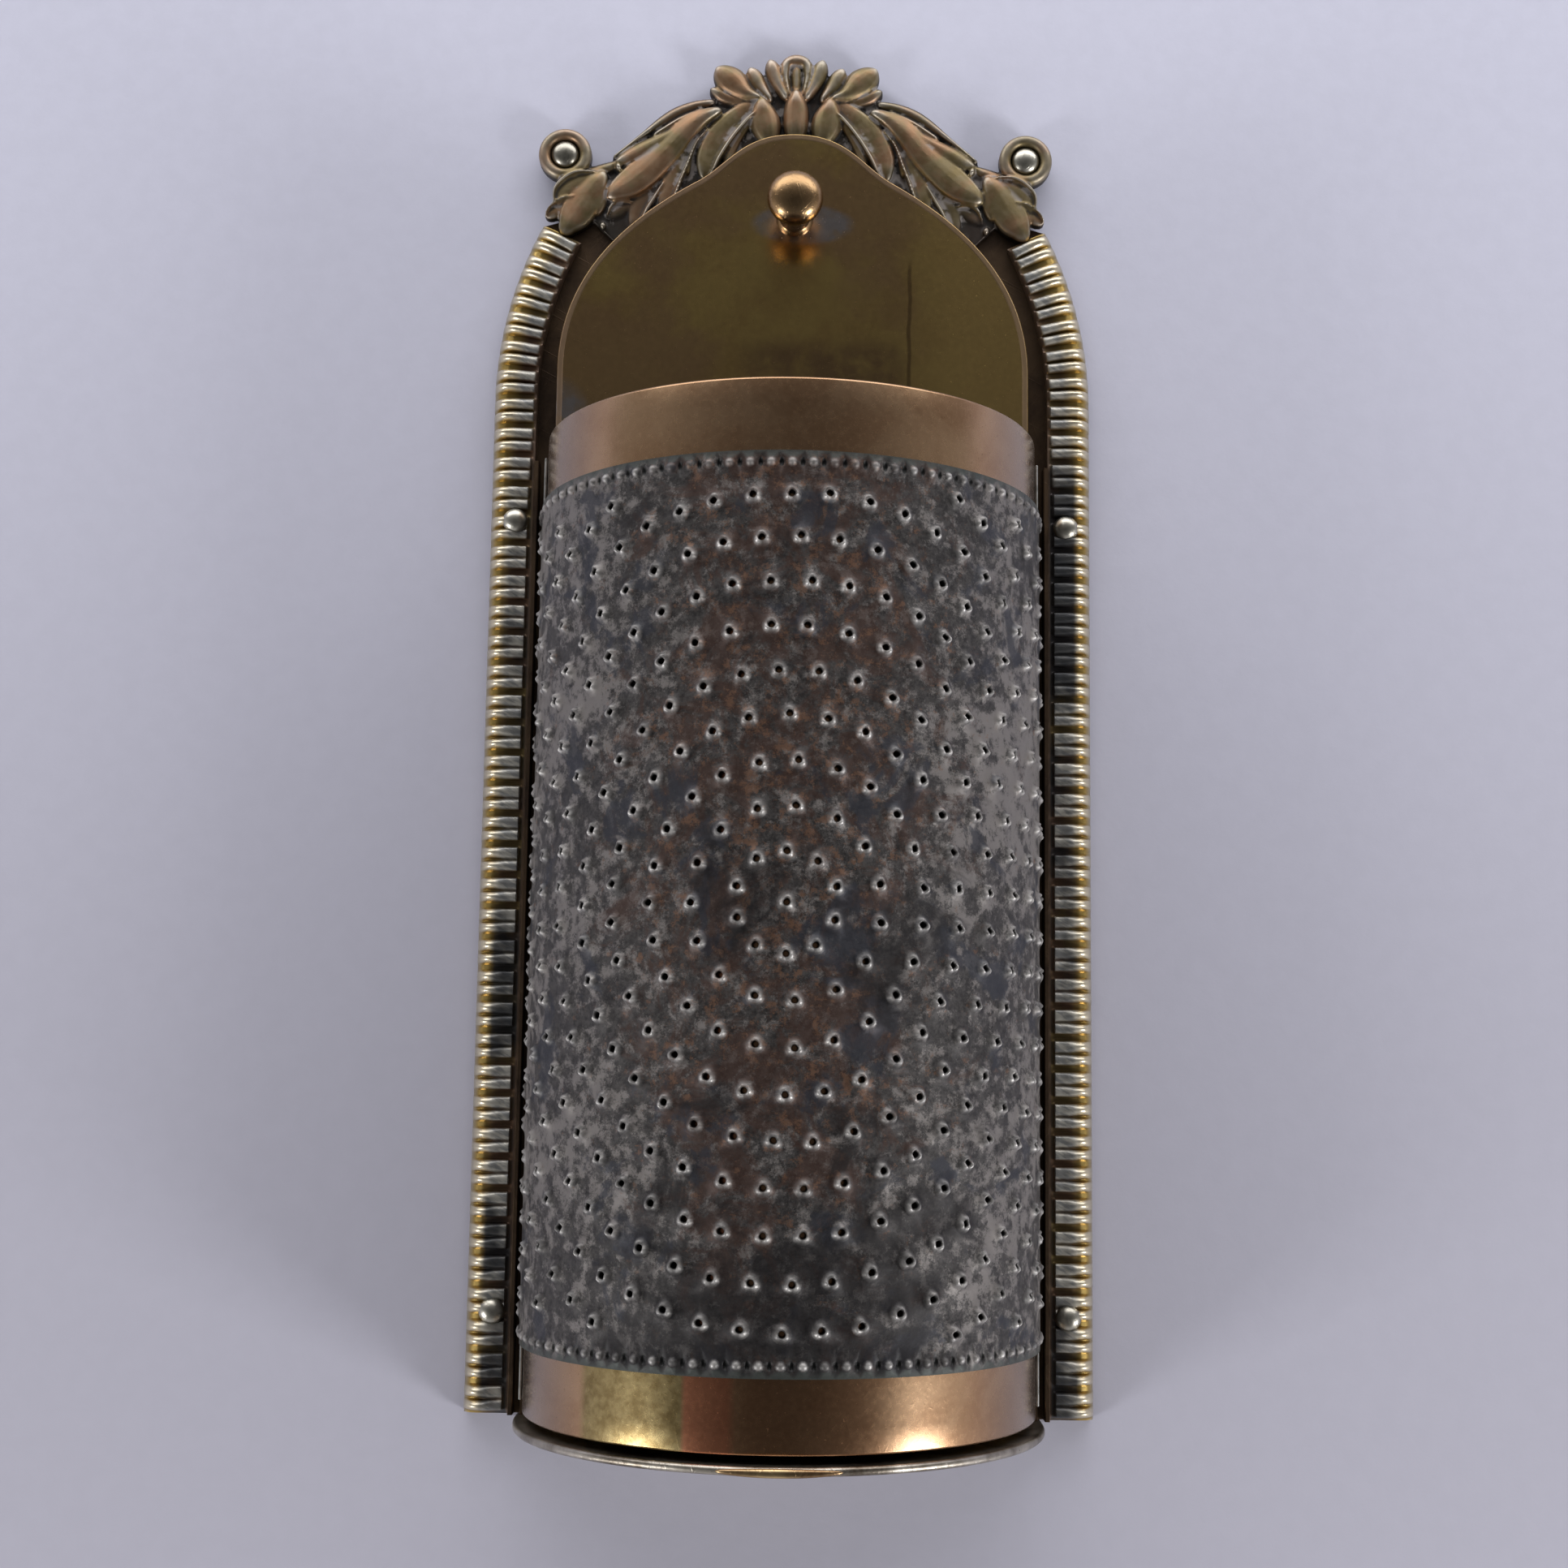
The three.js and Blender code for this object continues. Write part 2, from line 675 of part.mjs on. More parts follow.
// The bud and calyx that join the leaves, the scroll and the border.
function calyxLobes() {
  return [
    lobe([[15.8, 2.9], [17.3, 2.3], [18.8, 1.0]], 0.8, 0.75),
    lobe([[19.2, 5.6], [20.4, 3.4], [21.8, 0.8]], 1.6, 0.9),
    lobe([[19.8, 5.7], [21.8, 4.7], [23.3, 3.0]], 0.95, 0.97),
    lobe([[21.3, 3.1], [22.8, 2.5], [24.0, 1.6]], 0.75, 0.75),
    lobe([[16.4, 7.5], [19.0, 6.8], [22.1, 5.9]], 0.75, 0.62),
  ];
}

function palmettePetals() {
  return [
    lobe([[0.5, 14.2], [1.6, 16.1], [2.6, 18.2]], 0.65, 0.97, 0.4),
    lobe([[2.3, 14.0], [3.8, 15.5], [4.4, 17.5]], 0.6, 0.75, 0.4),
    lobe([[3.6, 13.8], [5.4, 15.3], [7.4, 17.2]], 1.35, 0.94, 1),
    lobe([[4.6, 13.7], [6.3, 14.1], [8.0, 15.1]], 0.65, 0.69),
  ];
}

function middleLobes() {
  return [
    lobe([[0, 9.9], [0, 12.2], [0, 14.5]], 1.25, 1),
    lobe([[0, 14.2], [0, 16.0], [0, 18.2]], 0.4, 0.62),
    lobe([[-1.6, 16.6], [-1.0, 18.4], [0, 18.8], [1.0, 18.4], [1.6, 16.6]], 0.55, 0.84),
  ];
}

// The scroll beside the crest: a rounded ring round a dish for its pin.
function volute() {
  const rimTop = crestTop - voluteRimDrop;
  const rounding = voluteRimWidth / 2;
  const profile = [
    [0, voluteBack],
    [voluteRadius - rounding, voluteBack],
    [voluteRadius, voluteBack + rounding],
    [voluteRadius, rimTop - rounding],
    [voluteRadius - rounding, rimTop],
    [voluteDishRadius, rimTop - rounding],
    [voluteDishRadius, voluteDishTop],
    [0, voluteDishTop],
  ];
  return turned(profile, roundSides).translate(voluteX, voluteY, 0);
}

function crestGround() {
  const outer = archRadius - crestGroundInset;
  const inner = outer - crestGroundWidth;
  const stop = Math.PI - archStartAngle;
  const shape = new THREE.Shape();
  shape.absarc(0, archCentreY, outer, archStartAngle, stop, false);
  shape.absarc(0, archCentreY - crestGroundDrop, inner, stop, archStartAngle, true);
  return upright(shape, frameThickness, frameThickness + crestGroundHeight, smallArcSegments);
}

function palmetteGround() {
  const y = borderEndY + palmetteDrawnY * crestUnit;
  const radius = palmetteDrawnRadius * crestUnit;
  return disc(0, y, radius, frameThickness, frameThickness + crestGroundHeight, roundSides);
}

// Room for the border's end, so that the crest stops just short of it.
function borderEndCutter() {
  const reach = borderWidth / 2 + cutGap;
  const steps = 8;
  const along = (i) => shoulderStartY + ((borderLength + cutGap - shoulderStartY) * i) / steps;
  const outer = [];
  const inner = [];
  for (let i = 0; i <= steps; i++) {
    outer.push(point(...railPoint(along(i), reach)));
    inner.unshift(point(...railPoint(along(i), -reach)));
  }
  return upright(new THREE.Shape([...outer, ...inner]), 0, borderTop + 1);
}

function crestOrnament() {
  const half = [...leafLobes(), ...calyxLobes(), ...palmettePetals(), volute()];
  const pieces = [crestGround(), palmetteGround(), ...middleLobes(), ...half, ...half.map(mirrored)];
  const cutter = borderEndCutter();
  return geometryOf(cutFrom(joined(pieces), [cutter, mirrored(cutter)]));
}

function scrollPin() {
  const height = crestTop - voluteDishTop;
  const dome = domePoints(pinRadius, voluteDishTop, height, 4);
  return turned([[0, voluteDishTop], [pinRadius, voluteDishTop], ...dome, [0, crestTop]], smallRoundSides);
}

addPiece('frame_plate', framePlate(), frameBrass);
addPiece('crest_ornament', crestOrnament(), crestBrass);
const border = gadroonBorder();
addPiece('gadroon_border_right', border, borderBrass);
addPiece('gadroon_border_left', mirrored(border), borderBrass);
const guide = guideStrip();
addPiece('guide_strip_right', guide, frameBrass);
addPiece('guide_strip_left', mirrored(guide), frameBrass);
addPiece('base_plate', basePlate(), greyBrass);
addPiece('base_lip', baseLip(), bandBrass);
addPiece('rasp_sheet', raspSheet(), steel);
for (const [sideName, side] of [['left', -1], ['right', 1]]) {
  const [lowY, highY] = rivetPlaces;
  addPiece(`rivet_bottom_${sideName}`, rivet(), greyBrass).position.set(side * rivetX, lowY, 0);
  addPiece(`rivet_top_${sideName}`, rivet(), greyBrass).position.set(side * rivetX, highY, 0);
  addPiece(`scroll_pin_${sideName}`, scrollPin(), greyBrass).position.set(side * voluteX, voluteY, 0);
}
addPiece('drawer_shell', drawerShell(), bandBrass);
addPiece('drawer_back_plate', drawerBackPlate(), plateBrass);
addPiece('drawer_floor', drawerFloor(), plateBrass);
addPiece('knob', knob(), knobBrass).position.set(0, knobY, plateTop);

// The origin is the middle of the back, so the whole is moved down by its middle height.
const bounds = new THREE.Box3().setFromObject(group);
group.position.y = -(bounds.min.y + bounds.max.y) / 2;

export default group;
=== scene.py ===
"""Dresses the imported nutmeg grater: fine meshes and worn brass and steel round the frame.

Shapes are written in millimetres in the part's own layout: x from the middle line, y from the
rails' lower end, z up from the back. They become metres in the shared frame at the end.
"""

import math

import bmesh
import bpy
import numpy as np
from mathutils import Euler, Matrix, Vector
from mathutils.geometry import delaunay_2d_cdt


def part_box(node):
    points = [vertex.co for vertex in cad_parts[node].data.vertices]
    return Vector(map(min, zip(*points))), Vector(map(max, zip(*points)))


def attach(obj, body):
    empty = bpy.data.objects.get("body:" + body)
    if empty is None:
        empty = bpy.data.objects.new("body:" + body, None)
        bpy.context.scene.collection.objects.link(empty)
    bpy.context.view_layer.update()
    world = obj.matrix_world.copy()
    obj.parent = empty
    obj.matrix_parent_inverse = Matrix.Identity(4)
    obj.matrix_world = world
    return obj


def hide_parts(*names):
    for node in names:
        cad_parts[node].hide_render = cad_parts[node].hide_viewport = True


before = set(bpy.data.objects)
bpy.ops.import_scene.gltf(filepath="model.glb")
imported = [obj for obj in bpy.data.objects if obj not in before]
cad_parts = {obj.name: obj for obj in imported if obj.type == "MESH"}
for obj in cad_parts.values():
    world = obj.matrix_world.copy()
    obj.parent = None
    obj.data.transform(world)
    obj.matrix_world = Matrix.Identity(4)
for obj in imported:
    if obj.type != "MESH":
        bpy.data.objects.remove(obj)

MM = 0.001
FULL_TURN = 2 * math.pi
RANDOM_SEED = 7

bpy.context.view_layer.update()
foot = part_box("base_plate")[1].y


def span(node):
    """A node's lowest and highest corner in local millimetres."""
    return [((corner - Vector((0, foot, 0))) / MM).to_tuple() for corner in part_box(node)]


def middle(node):
    """The place of a node's middle, in x and y."""
    low, high = span(node)
    return (low[0] + high[0]) / 2, (low[1] + high[1]) / 2


(_, SHELL_START, AXIS_Z), (DRAWER_RADIUS, SHELL_END, _) = span("drawer_shell")
(_, PLATE_START, PLATE_BOTTOM), (PLATE_HALF, PLATE_END, PLATE_TOP) = span("drawer_back_plate")
RAIL_OUTER, _, FRAME_TOP = span("frame_plate")[1]
(GUIDE_INNER, _, _), (BORDER_INNER, GUIDE_END, LIP_TOP) = span("guide_strip_right")
BORDER_TOP = span("gadroon_border_right")[1][2]
(_, BASE_BOTTOM, _), (BASE_RADIUS, _, _) = span("base_plate")

SHEET_THICKNESS = 0.35
SLIDE_CLEARANCE = 0.15
SHELL_WALL = 0.5
RUNNING_GAP = 0.3
LOWER_BAND = 6.1
UPPER_BAND = 6.6
BAND_RADIUS = DRAWER_RADIUS + 0.07
RASP_INNER = DRAWER_RADIUS + SLIDE_CLEARANCE
RASP_OUTER = RASP_INNER + SHEET_THICKNESS
RASP_START = SHELL_START + LOWER_BAND
RASP_END = SHELL_END - UPPER_BAND
RASP_MIDDLE = (RASP_START + RASP_END) / 2
GUIDE_TOP = AXIS_Z - RUNNING_GAP

random = np.random.default_rng(RANDOM_SEED)


# Mesh helpers

def to_frame(points):
    """Local millimetres to metres in the shared frame."""
    points = np.asarray(points, float) * MM
    points[:, 1] += foot
    return points


def link(name, data):
    """A new object in the scene."""
    obj = bpy.data.objects.new(name, data)
    bpy.context.scene.collection.objects.link(obj)
    return obj


def evaluated_mesh(obj):
    """The mesh that an object with its modifiers comes to, in place of the object."""
    mesh = bpy.data.meshes.new_from_object(obj.evaluated_get(bpy.context.evaluated_depsgraph_get()))
    bpy.data.objects.remove(obj)
    return mesh


def read(items, key, width, kind=float):
    """One value of every item of a mesh, as the rows of an array."""
    values = np.zeros(len(items) * width, kind)
    items.foreach_get(key, values)
    return values.reshape(-1, width)


def keep_values(mesh, attributes):
    """Stores numbers or vectors at a mesh's points, for its material."""
    for key, values in attributes.items():
        values = np.asarray(values, np.float32)
        kind, field = ("FLOAT", "value") if values.ndim == 1 else ("FLOAT_VECTOR", "vector")
        mesh.attributes.new(key, kind, "POINT").data.foreach_set(field, values.ravel())


def shade_smooth(mesh):
    mesh.polygons.foreach_set("use_smooth", np.ones(len(mesh.polygons), bool))


def mesh_object(name, points, faces, attributes=None, sharp=35.0):
    """An object of a mesh given by points and faces, with smooth shading up to a crease angle."""
    mesh = bpy.data.meshes.new(name)
    mesh.from_pydata(to_frame(points).tolist(), [], [list(map(int, face)) for face in faces])
    keep_values(mesh, attributes or {})
    mesh.validate()
    shade_smooth(mesh)
    mesh.set_sharp_from_angle(angle=math.radians(sharp))
    return link(name, mesh)


def merge(parts):
    """Joins (points, faces) pairs into one pair."""
    points, faces, start = [], [], 0
    for part_points, part_faces in parts:
        points.append(np.asarray(part_points, float))
        faces.extend([[index + start for index in face] for face in part_faces])
        start += len(part_points)
    return np.vstack(points), faces


def mirror(part):
    """The same part on the other side of the middle plane."""
    points, faces = part
    return np.asarray(points) * (-1, 1, 1), [list(reversed(face)) for face in faces]


def mirrored_outline(right):
    """An outline from its right half, which runs up to the middle line."""
    return right + [(-x, y) for x, y in reversed(right[:-1])]


def grid_faces(rows, columns):
    """Quads between closed rows of points."""
    faces = []
    for row in range(rows - 1):
        for column in range(columns):
            a = row * columns + column
            b = row * columns + (column + 1) % columns
            faces.append((a, b, b + columns, a + columns))
    return faces


def loft(sections):
    """A closed body through sections of equal length, each a closed loop."""
    sections = np.asarray(sections, float)
    rows, columns, _ = sections.shape
    faces = grid_faces(rows, columns)
    faces.append(tuple(range(columns - 1, -1, -1)))
    faces.append(tuple((rows - 1) * columns + i for i in range(columns)))
    return sections.reshape(-1, 3), faces


def circle(centre, radius, sides):
    """Points round a circle, the first one at angle 0."""
    return [(centre[0] + radius * math.cos(FULL_TURN * i / sides),
             centre[1] + radius * math.sin(FULL_TURN * i / sides)) for i in range(sides)]


def arc(centre, radius, start, end, steps):
    """Points on a circle between two angles in radians."""
    return [(centre[0] + radius * math.cos(a), centre[1] + radius * math.sin(a))
            for a in np.linspace(start, end, steps + 1)]


def lathe(profile, sides, centre):
    """Turns a profile of (radius, z), from the axis back to the axis, about a vertical line."""
    first, *rings, last = profile
    points = [(*centre, first[1])]
    for radius, z in rings:
        points += [(x, y, z) for x, y in circle(centre, radius, sides)]
    points.append((*centre, last[1]))
    faces = [(0, 1 + (i + 1) % sides, 1 + i) for i in range(sides)]
    faces += [tuple(i + 1 for i in face) for face in grid_faces(len(rings), sides)]
    last_ring, tip = len(points) - 1 - sides, len(points) - 1
    faces += [(last_ring + i, last_ring + (i + 1) % sides, tip) for i in range(sides)]
    return np.array(points), faces


def slab(outlines, bottom, top, bevel):
    """A flat plate with rounded edges from closed outlines in x and y. Later outlines are holes."""
    curve = bpy.data.curves.new("slab", "CURVE")
    curve.dimensions = "2D"
    curve.fill_mode = "BOTH"
    for outline in outlines:
        edge = curve.splines.new("POLY")
        edge.points.add(len(outline) - 1)
        edge.points.foreach_set("co", [value for x, y in outline for value in (x, y, 0, 1)])
        edge.use_cyclic_u = True
    curve.offset = -bevel
    curve.bevel_depth = bevel
    curve.bevel_resolution = 2
    curve.extrude = (top - bottom) / 2 - bevel
    mesh = evaluated_mesh(link("slab", curve))
    bpy.data.curves.remove(curve)
    body = bmesh.new()
    body.from_mesh(mesh)
    bmesh.ops.remove_doubles(body, verts=body.verts, dist=1e-4)
    bmesh.ops.recalc_face_normals(body, faces=body.faces)
    body.to_mesh(mesh)
    body.free()
    points = read(mesh.vertices, "co", 3)
    points[:, 2] += (bottom + top) / 2
    faces = [tuple(polygon.vertices) for polygon in mesh.polygons]
    bpy.data.meshes.remove(mesh)
    return points, faces


def smoothstep(low, high, values):
    """From 0 to 1, smoothly, while the values go from low to high."""
    share = np.clip((np.asarray(values, float) - low) / (high - low), 0, 1)
    return share * share * (3 - 2 * share)


def spline(points, count):
    """Evenly spaced points on a smooth curve through the given points."""
    points = np.asarray(points, float)
    ends = np.vstack([2 * points[0] - points[1], points, 2 * points[-1] - points[-2]])
    dense = []
    for i in range(len(points) - 1):
        a, b, c, d = ends[i:i + 4]
        for t in np.linspace(0, 1, 24, endpoint=False):
            dense.append(0.5 * (2 * b + (c - a) * t + (2 * a - 5 * b + 4 * c - d) * t ** 2
                                + (3 * b - a - 3 * c + d) * t ** 3))
    dense.append(points[-1])
    dense = np.array(dense)
    length = np.concatenate([[0], np.cumsum(np.linalg.norm(np.diff(dense, axis=0), axis=1))])
    even = np.linspace(0, length[-1], count)
    return np.stack([np.interp(even, length, dense[:, k]) for k in range(dense.shape[1])], 1)


# Shader helpers

class Value:
    """A number worked out by a material's nodes, for sums and products with others."""

    def __init__(self, shader, socket):
        self.shader, self.socket = shader, socket

    def __add__(self, other):
        return self.shader.math("ADD", self, other)

    def __sub__(self, other):
        return self.shader.math("SUBTRACT", self, other)

    def __rsub__(self, other):
        return self.shader.math("SUBTRACT", other, self)

    def __mul__(self, other):
        return self.shader.math("MULTIPLY", self, other)

    def __abs__(self):
        return self.shader.math("ABSOLUTE", self)

    def between(self, low, high, start=0.0, end=1.0):
        """Goes smoothly from start to end while the value goes from low to high."""
        made = self.shader.node("ShaderNodeMapRange", {
            "Value": self, "From Min": low, "From Max": high, "To Min": start, "To Max": end},
            interpolation_type="SMOOTHSTEP")
        return Value(self.shader, made.outputs["Result"])


class Shader:
    """A node material, with the colour, roughness and surface relief it has been given so far."""

    def __init__(self, name, tree=None):
        self.color, self.rough, self.normal = None, None, None
        if tree is not None:
            self.tree = tree
            return
        self.material = bpy.data.materials.new(name)
        self.material.use_nodes = True
        self.tree = self.material.node_tree
        self.surface = self.tree.nodes["Principled BSDF"]
        place = self.node("ShaderNodeTexCoord").outputs["Object"]
        self.place = self.node("ShaderNodeVectorMath", {0: place, 3: 1 / MM}, operation="SCALE").outputs["Vector"]

    def put(self, socket, value):
        value = value.socket if isinstance(value, Value) else value
        if isinstance(value, bpy.types.NodeSocket):
            self.tree.links.new(value, socket)
        elif isinstance(value, (tuple, list)) and len(value) == 3 and socket.type == "RGBA":
            socket.default_value = (*value, 1)
        else:
            socket.default_value = value

    def node(self, kind, inputs=None, **settings):
        made = self.tree.nodes.new(kind)
        for key, value in settings.items():
            setattr(made, key, value)
        for key, value in (inputs or {}).items():
            self.put(made.inputs[key], value)
        return made

    def math(self, operation, a, b=0.0, clamp=False):
        made = self.node("ShaderNodeMath", {0: a, 1: b}, operation=operation, use_clamp=clamp)
        return Value(self, made.outputs[0])

    def attribute(self, name):
        return Value(self, self.node("ShaderNodeAttribute", attribute_name=name).outputs["Fac"])

    def layout(self, name):
        """A vector kept at the mesh's points."""
        return self.node("ShaderNodeAttribute", attribute_name=name).outputs["Vector"]

    def axis(self, index, where=None):
        return Value(self, self.node("ShaderNodeSeparateXYZ", {0: where or self.place}).outputs[index])

    def stretch(self, scale, turn):
        """The place, turned about Z and scaled on each axis."""
        turned = self.node("ShaderNodeMapping", {"Vector": self.place, "Rotation": (0, 0, turn)})
        return self.node("ShaderNodeMapping", {"Vector": turned.outputs[0], "Scale": scale}).outputs[0]

    def distance(self, place, scale):
        """How far the surface is from a place, with each axis scaled."""
        scaled = self.node("ShaderNodeVectorMath", {0: self.place, 1: scale}, operation="MULTIPLY").outputs[0]
        place = tuple(a * b for a, b in zip(place, scale))
        made = self.node("ShaderNodeVectorMath", {0: scaled, 1: place}, operation="DISTANCE")
        return Value(self, made.outputs["Value"])

    def noise(self, scale, detail=4.0, roughness=0.55, where=None, seed=0.0, twist=0.0):
        """Noise of about one patch in 1/scale millimetres."""
        shifted = self.node("ShaderNodeMapping", {
            "Vector": where or self.place, "Location": (seed * 13.7, seed * 7.3, seed * 3.1)}).outputs[0]
        made = self.node("ShaderNodeTexNoise", {
            "Vector": shifted, "Scale": scale, "Detail": detail, "Roughness": roughness, "Distortion": twist})
        return Value(self, made.outputs["Fac"])

    def mix(self, share, a, b):
        made = self.node("ShaderNodeMix", data_type="RGBA")
        for key, value in (("Factor", share), ("A", a), ("B", b)):
            self.put(made.inputs[key], value)
        return made.outputs["Result"]

    def paint(self, tone, share):
        """Lays a tone over the colour so far."""
        self.color = self.mix(share, self.color, tone)

    def ramp(self, value, stops):
        """A colour by value, through (place, colour) stops."""
        made = self.node("ShaderNodeValToRGB", {"Fac": value})
        made.color_ramp.interpolation = "EASE"
        elements = made.color_ramp.elements
        for element, (place, color) in zip(elements, (stops[0], stops[-1])):
            element.position, element.color = place, (*color, 1)
        for place, color in stops[1:-1]:
            elements.new(place).color = (*color, 1)
        return made.outputs["Color"]

    def bump(self, height, distance, strength):
        """Adds a relief, with its depth in millimetres, to the surface so far."""
        inputs = {"Height": height, "Distance": distance * MM, "Strength": strength}
        if self.normal is not None:
            inputs["Normal"] = self.normal
        self.normal = self.node("ShaderNodeBump", inputs).outputs[0]

    def finish(self, metallic=1.0):
        for key, value in (("Base Color", self.color), ("Roughness", self.rough),
                           ("Metallic", metallic), ("Normal", self.normal)):
            self.put(self.surface.inputs[key], value)
        return self.material


# Materials

SCRATCH_TURNS = (0.5, -0.9, 1.3)
# Marks on the back plate, in the shared frame's millimetres
FOOT_Y = foot / MM
# Grey stains: middle, stretch of each axis, and the distances where a stain starts and is full
STAINS = [((0.8, span("knob")[0][1] + FOOT_Y + 2.1, PLATE_TOP), (1.0, 2.4, 1.0), (5.4, 4.0)),
          ((-23.5, SHELL_END + FOOT_Y + 3.0, PLATE_TOP), (1.0, 1.0, 1.0), (4.6, 3.0))]
# The long dark scratch: its place in x, its lower and its upper end
SCRATCH_X = 11.0
SCRATCH_HALF, SCRATCH_CORE = 0.26, 0.10
SCRATCH_LOW, SCRATCH_HIGH = SHELL_END + FOOT_Y + 1.5, SHELL_END + FOOT_Y + 18.5
SMUDGE_TOP = SHELL_END + FOOT_Y + 12.0


def scratches(shader, seed):
    """Thin streaks in several directions, as one value from 0 to 1."""
    total = None
    for i, turn in enumerate(SCRATCH_TURNS):
        streak = shader.noise(1.0, 2.0, 0.5, shader.stretch((0.06, 4.0, 4.0), turn), seed + i)
        line = streak.between(0.62, 0.75)
        total = line if total is None else shader.math("MAXIMUM", total, line)
    return total


def brass(name, light, dark, roughness, seed, scratch=0.5, relief=0.35):
    """Worn brass: two tones in broad patches, tiny dark specks and fine scratches."""
    shader = Shader(name)
    patches = shader.noise(0.16, 5.0, 0.6, seed=seed, twist=0.4)
    grain = shader.noise(2.2, 4.0, 0.6, seed=seed + 1)
    spots = shader.noise(3.6, 3.0, 0.5, seed=seed + 2).between(0.69, 0.76)
    shader.color = shader.mix(patches.between(0.35, 0.65), dark, light)
    shader.paint(light, grain.between(0.3, 0.75, 0.0, 0.28))
    shader.paint((0.05, 0.035, 0.02), spots * 0.7)
    shader.rough = grain * 0.12 + roughness + spots * 0.2
    shader.bump(scratches(shader, seed), 0.02, scratch)
    shader.bump(grain, 0.02, relief)
    return shader


def rasp_material():
    """Dark steel with rust in the middle, blue-black patches, a pale film with painted light on the flanks, and painted
    shade in the holes and along the long edges.
    """
    shader = Shader("rasp_steel")
    flat = shader.layout("sheet")
    across, along = abs(shader.axis(0, flat)), shader.axis(1, flat)
    flank_light, low = across.between(6.0, 24.0), along.between(-10.0, -38.0)
    centre = across.between(24.0, 4.0, -0.10, 0.05)
    fine = shader.noise(1.8, 8.0, 0.78, flat, 1)
    shader.color = shader.mix(fine.between(0.36, 0.64), (0.022, 0.020, 0.020), (0.070, 0.064, 0.062))
    cloud = shader.noise(0.055, 3.0, 0.5, flat, 17).between(0.35, 0.65, -0.05, 0.06)
    # Painted light: the film, and the broad dark patches below, lean paler towards the flanks where the low side lamps
    # light the sheet; the film itself is real
    film = shader.noise(0.55, 9.0, 0.78, flat, 3) + flank_light * 0.06 + cloud * across.between(5.0, 20.0)
    shader.paint((0.215, 0.196, 0.186), film.between(0.50, 0.62, 0.0, 0.85))
    rust = shader.noise(0.17, 9.0, 0.78, flat, 5, 0.8) + centre - low * 0.05
    shader.paint((0.058, 0.028, 0.019), rust.between(0.49, 0.60, 0.0, 0.70))
    orange = shader.noise(0.7, 8.0, 0.8, flat, 8) + centre * 0.5 - low * 0.05
    shader.paint((0.175, 0.090, 0.052), orange.between(0.55, 0.63, 0.0, 0.65))
    blue = shader.noise(0.15, 6.0, 0.65, flat, 11, 0.5)
    shader.paint((0.028, 0.030, 0.040), blue.between(0.55, 0.62, 0.0, 0.80))
    foot_middle = low * across.between(22.0, 6.0, 0.06, 0.21)
    broad = shader.noise(0.12, 6.0, 0.65, flat, 2, 0.6) - foot_middle + flank_light * 0.05
    shader.paint((0.012, 0.010, 0.011), broad.between(0.46, 0.34, 0.0, 0.75))
    # Painted shade: the sheet darkens towards its long edges, where it turns down out of the light
    shader.paint((0.010, 0.009, 0.009), across.between(32.5, 35.5, 0.0, 0.9))
    shader.paint((0.060, 0.068, 0.062), shader.attribute("edge") * 0.75)
    # Pale burr rims and bead tops: wear, and on each burr also painted glints at its lower left and lower right, where
    # the two low lamps would shine
    rim_wear_and_glints = shader.noise(0.9, 2.0, 0.5, flat, 14).between(0.35, 0.6, 0.45, 1.0)
    worn = shader.math("MULTIPLY", shader.attribute("rim"), rim_wear_and_glints, clamp=True)
    shader.paint((0.58, 0.56, 0.54), worn)
    # Painted shade: the holes, the pits and the sheet's inner face seen through the holes are painted near black
    pit = shader.attribute("pit")
    shader.paint((0.003, 0.003, 0.003), pit)
    shader.rough = fine.between(0.3, 0.7, 0.44, 0.60) - worn * 0.18
    shader.bump(fine, 0.05, 0.6)
    shader.bump(film, 0.08, 0.4)
    return shader.finish((1.0 - pit) * 0.50)


def border_material():
    """Cream ridges over gold and brown grooves, greyer inwards, with black dirt by two rivets."""
    shader = Shader("border_brass")
    strip = shader.layout("border")
    out, distance, relief = [shader.axis(index, strip) for index in range(3)]
    side = shader.axis(0)
    fine = shader.noise(1.4, 5.0, 0.65, seed=21)
    patches = shader.noise(0.12, 4.0, 0.6, seed=22)
    bend = distance.between(BEND_START, BEND_END)
    gold_edge = out + bend * 0.3
    brown = shader.mix(patches.between(0.42, 0.58), (0.15, 0.085, 0.050), (0.17, 0.120, 0.045))
    groove = shader.mix(gold_edge.between(-0.1, 0.6), brown, (0.42, 0.29, 0.09))
    streaks = shader.noise(1.0, 4.0, 0.6, shader.stretch((0.5, 2.2, 1.0), 0.5), 25)
    top = shader.mix(streaks.between(0.40, 0.60), (0.26, 0.26, 0.255), (0.50, 0.48, 0.43))
    top = shader.mix(gold_edge.between(-0.05, 0.45, 0.0, 0.9), top, (0.66, 0.58, 0.43))
    shader.color = shader.mix(relief.between(0.25, 0.80), groove, top)
    shader.paint((0.36, 0.33, 0.27), out.between(0.74, 0.95, 0.0, 0.6))
    near_foot = distance.between(24.0, 13.0) * side.between(1.0, -1.0)
    high_up = distance.between(58.0, 70.0) * distance.between(93.0, 86.0) * side.between(-1.0, 1.0)
    dirt = (near_foot + high_up) * 0.16 + shader.noise(0.06, 4.0, 0.6, seed=24)
    dirt = dirt.between(0.56, 0.66) * out.between(0.36, 0.12) * bend.between(0.0, 1.0, 1.0, 0.0)
    shader.paint((0.030, 0.032, 0.038), dirt * 0.9)
    # Painted shade: dark marks for small hollows beside the ridges' inner ends
    shader.paint((0.050, 0.050, 0.048), shader.attribute("hollow") * 0.8)
    shader.paint((0.17, 0.115, 0.085), out.between(-0.86, -0.94) * 0.8)
    shader.rough = gold_edge.between(0.0, 0.5, 0.42, 0.32) + fine.between(0.3, 0.7, -0.04, 0.06)
    shader.bump(fine, 0.03, 0.5)
    return shader.finish(gold_edge.between(-0.1, 0.6, 0.50, 0.80))


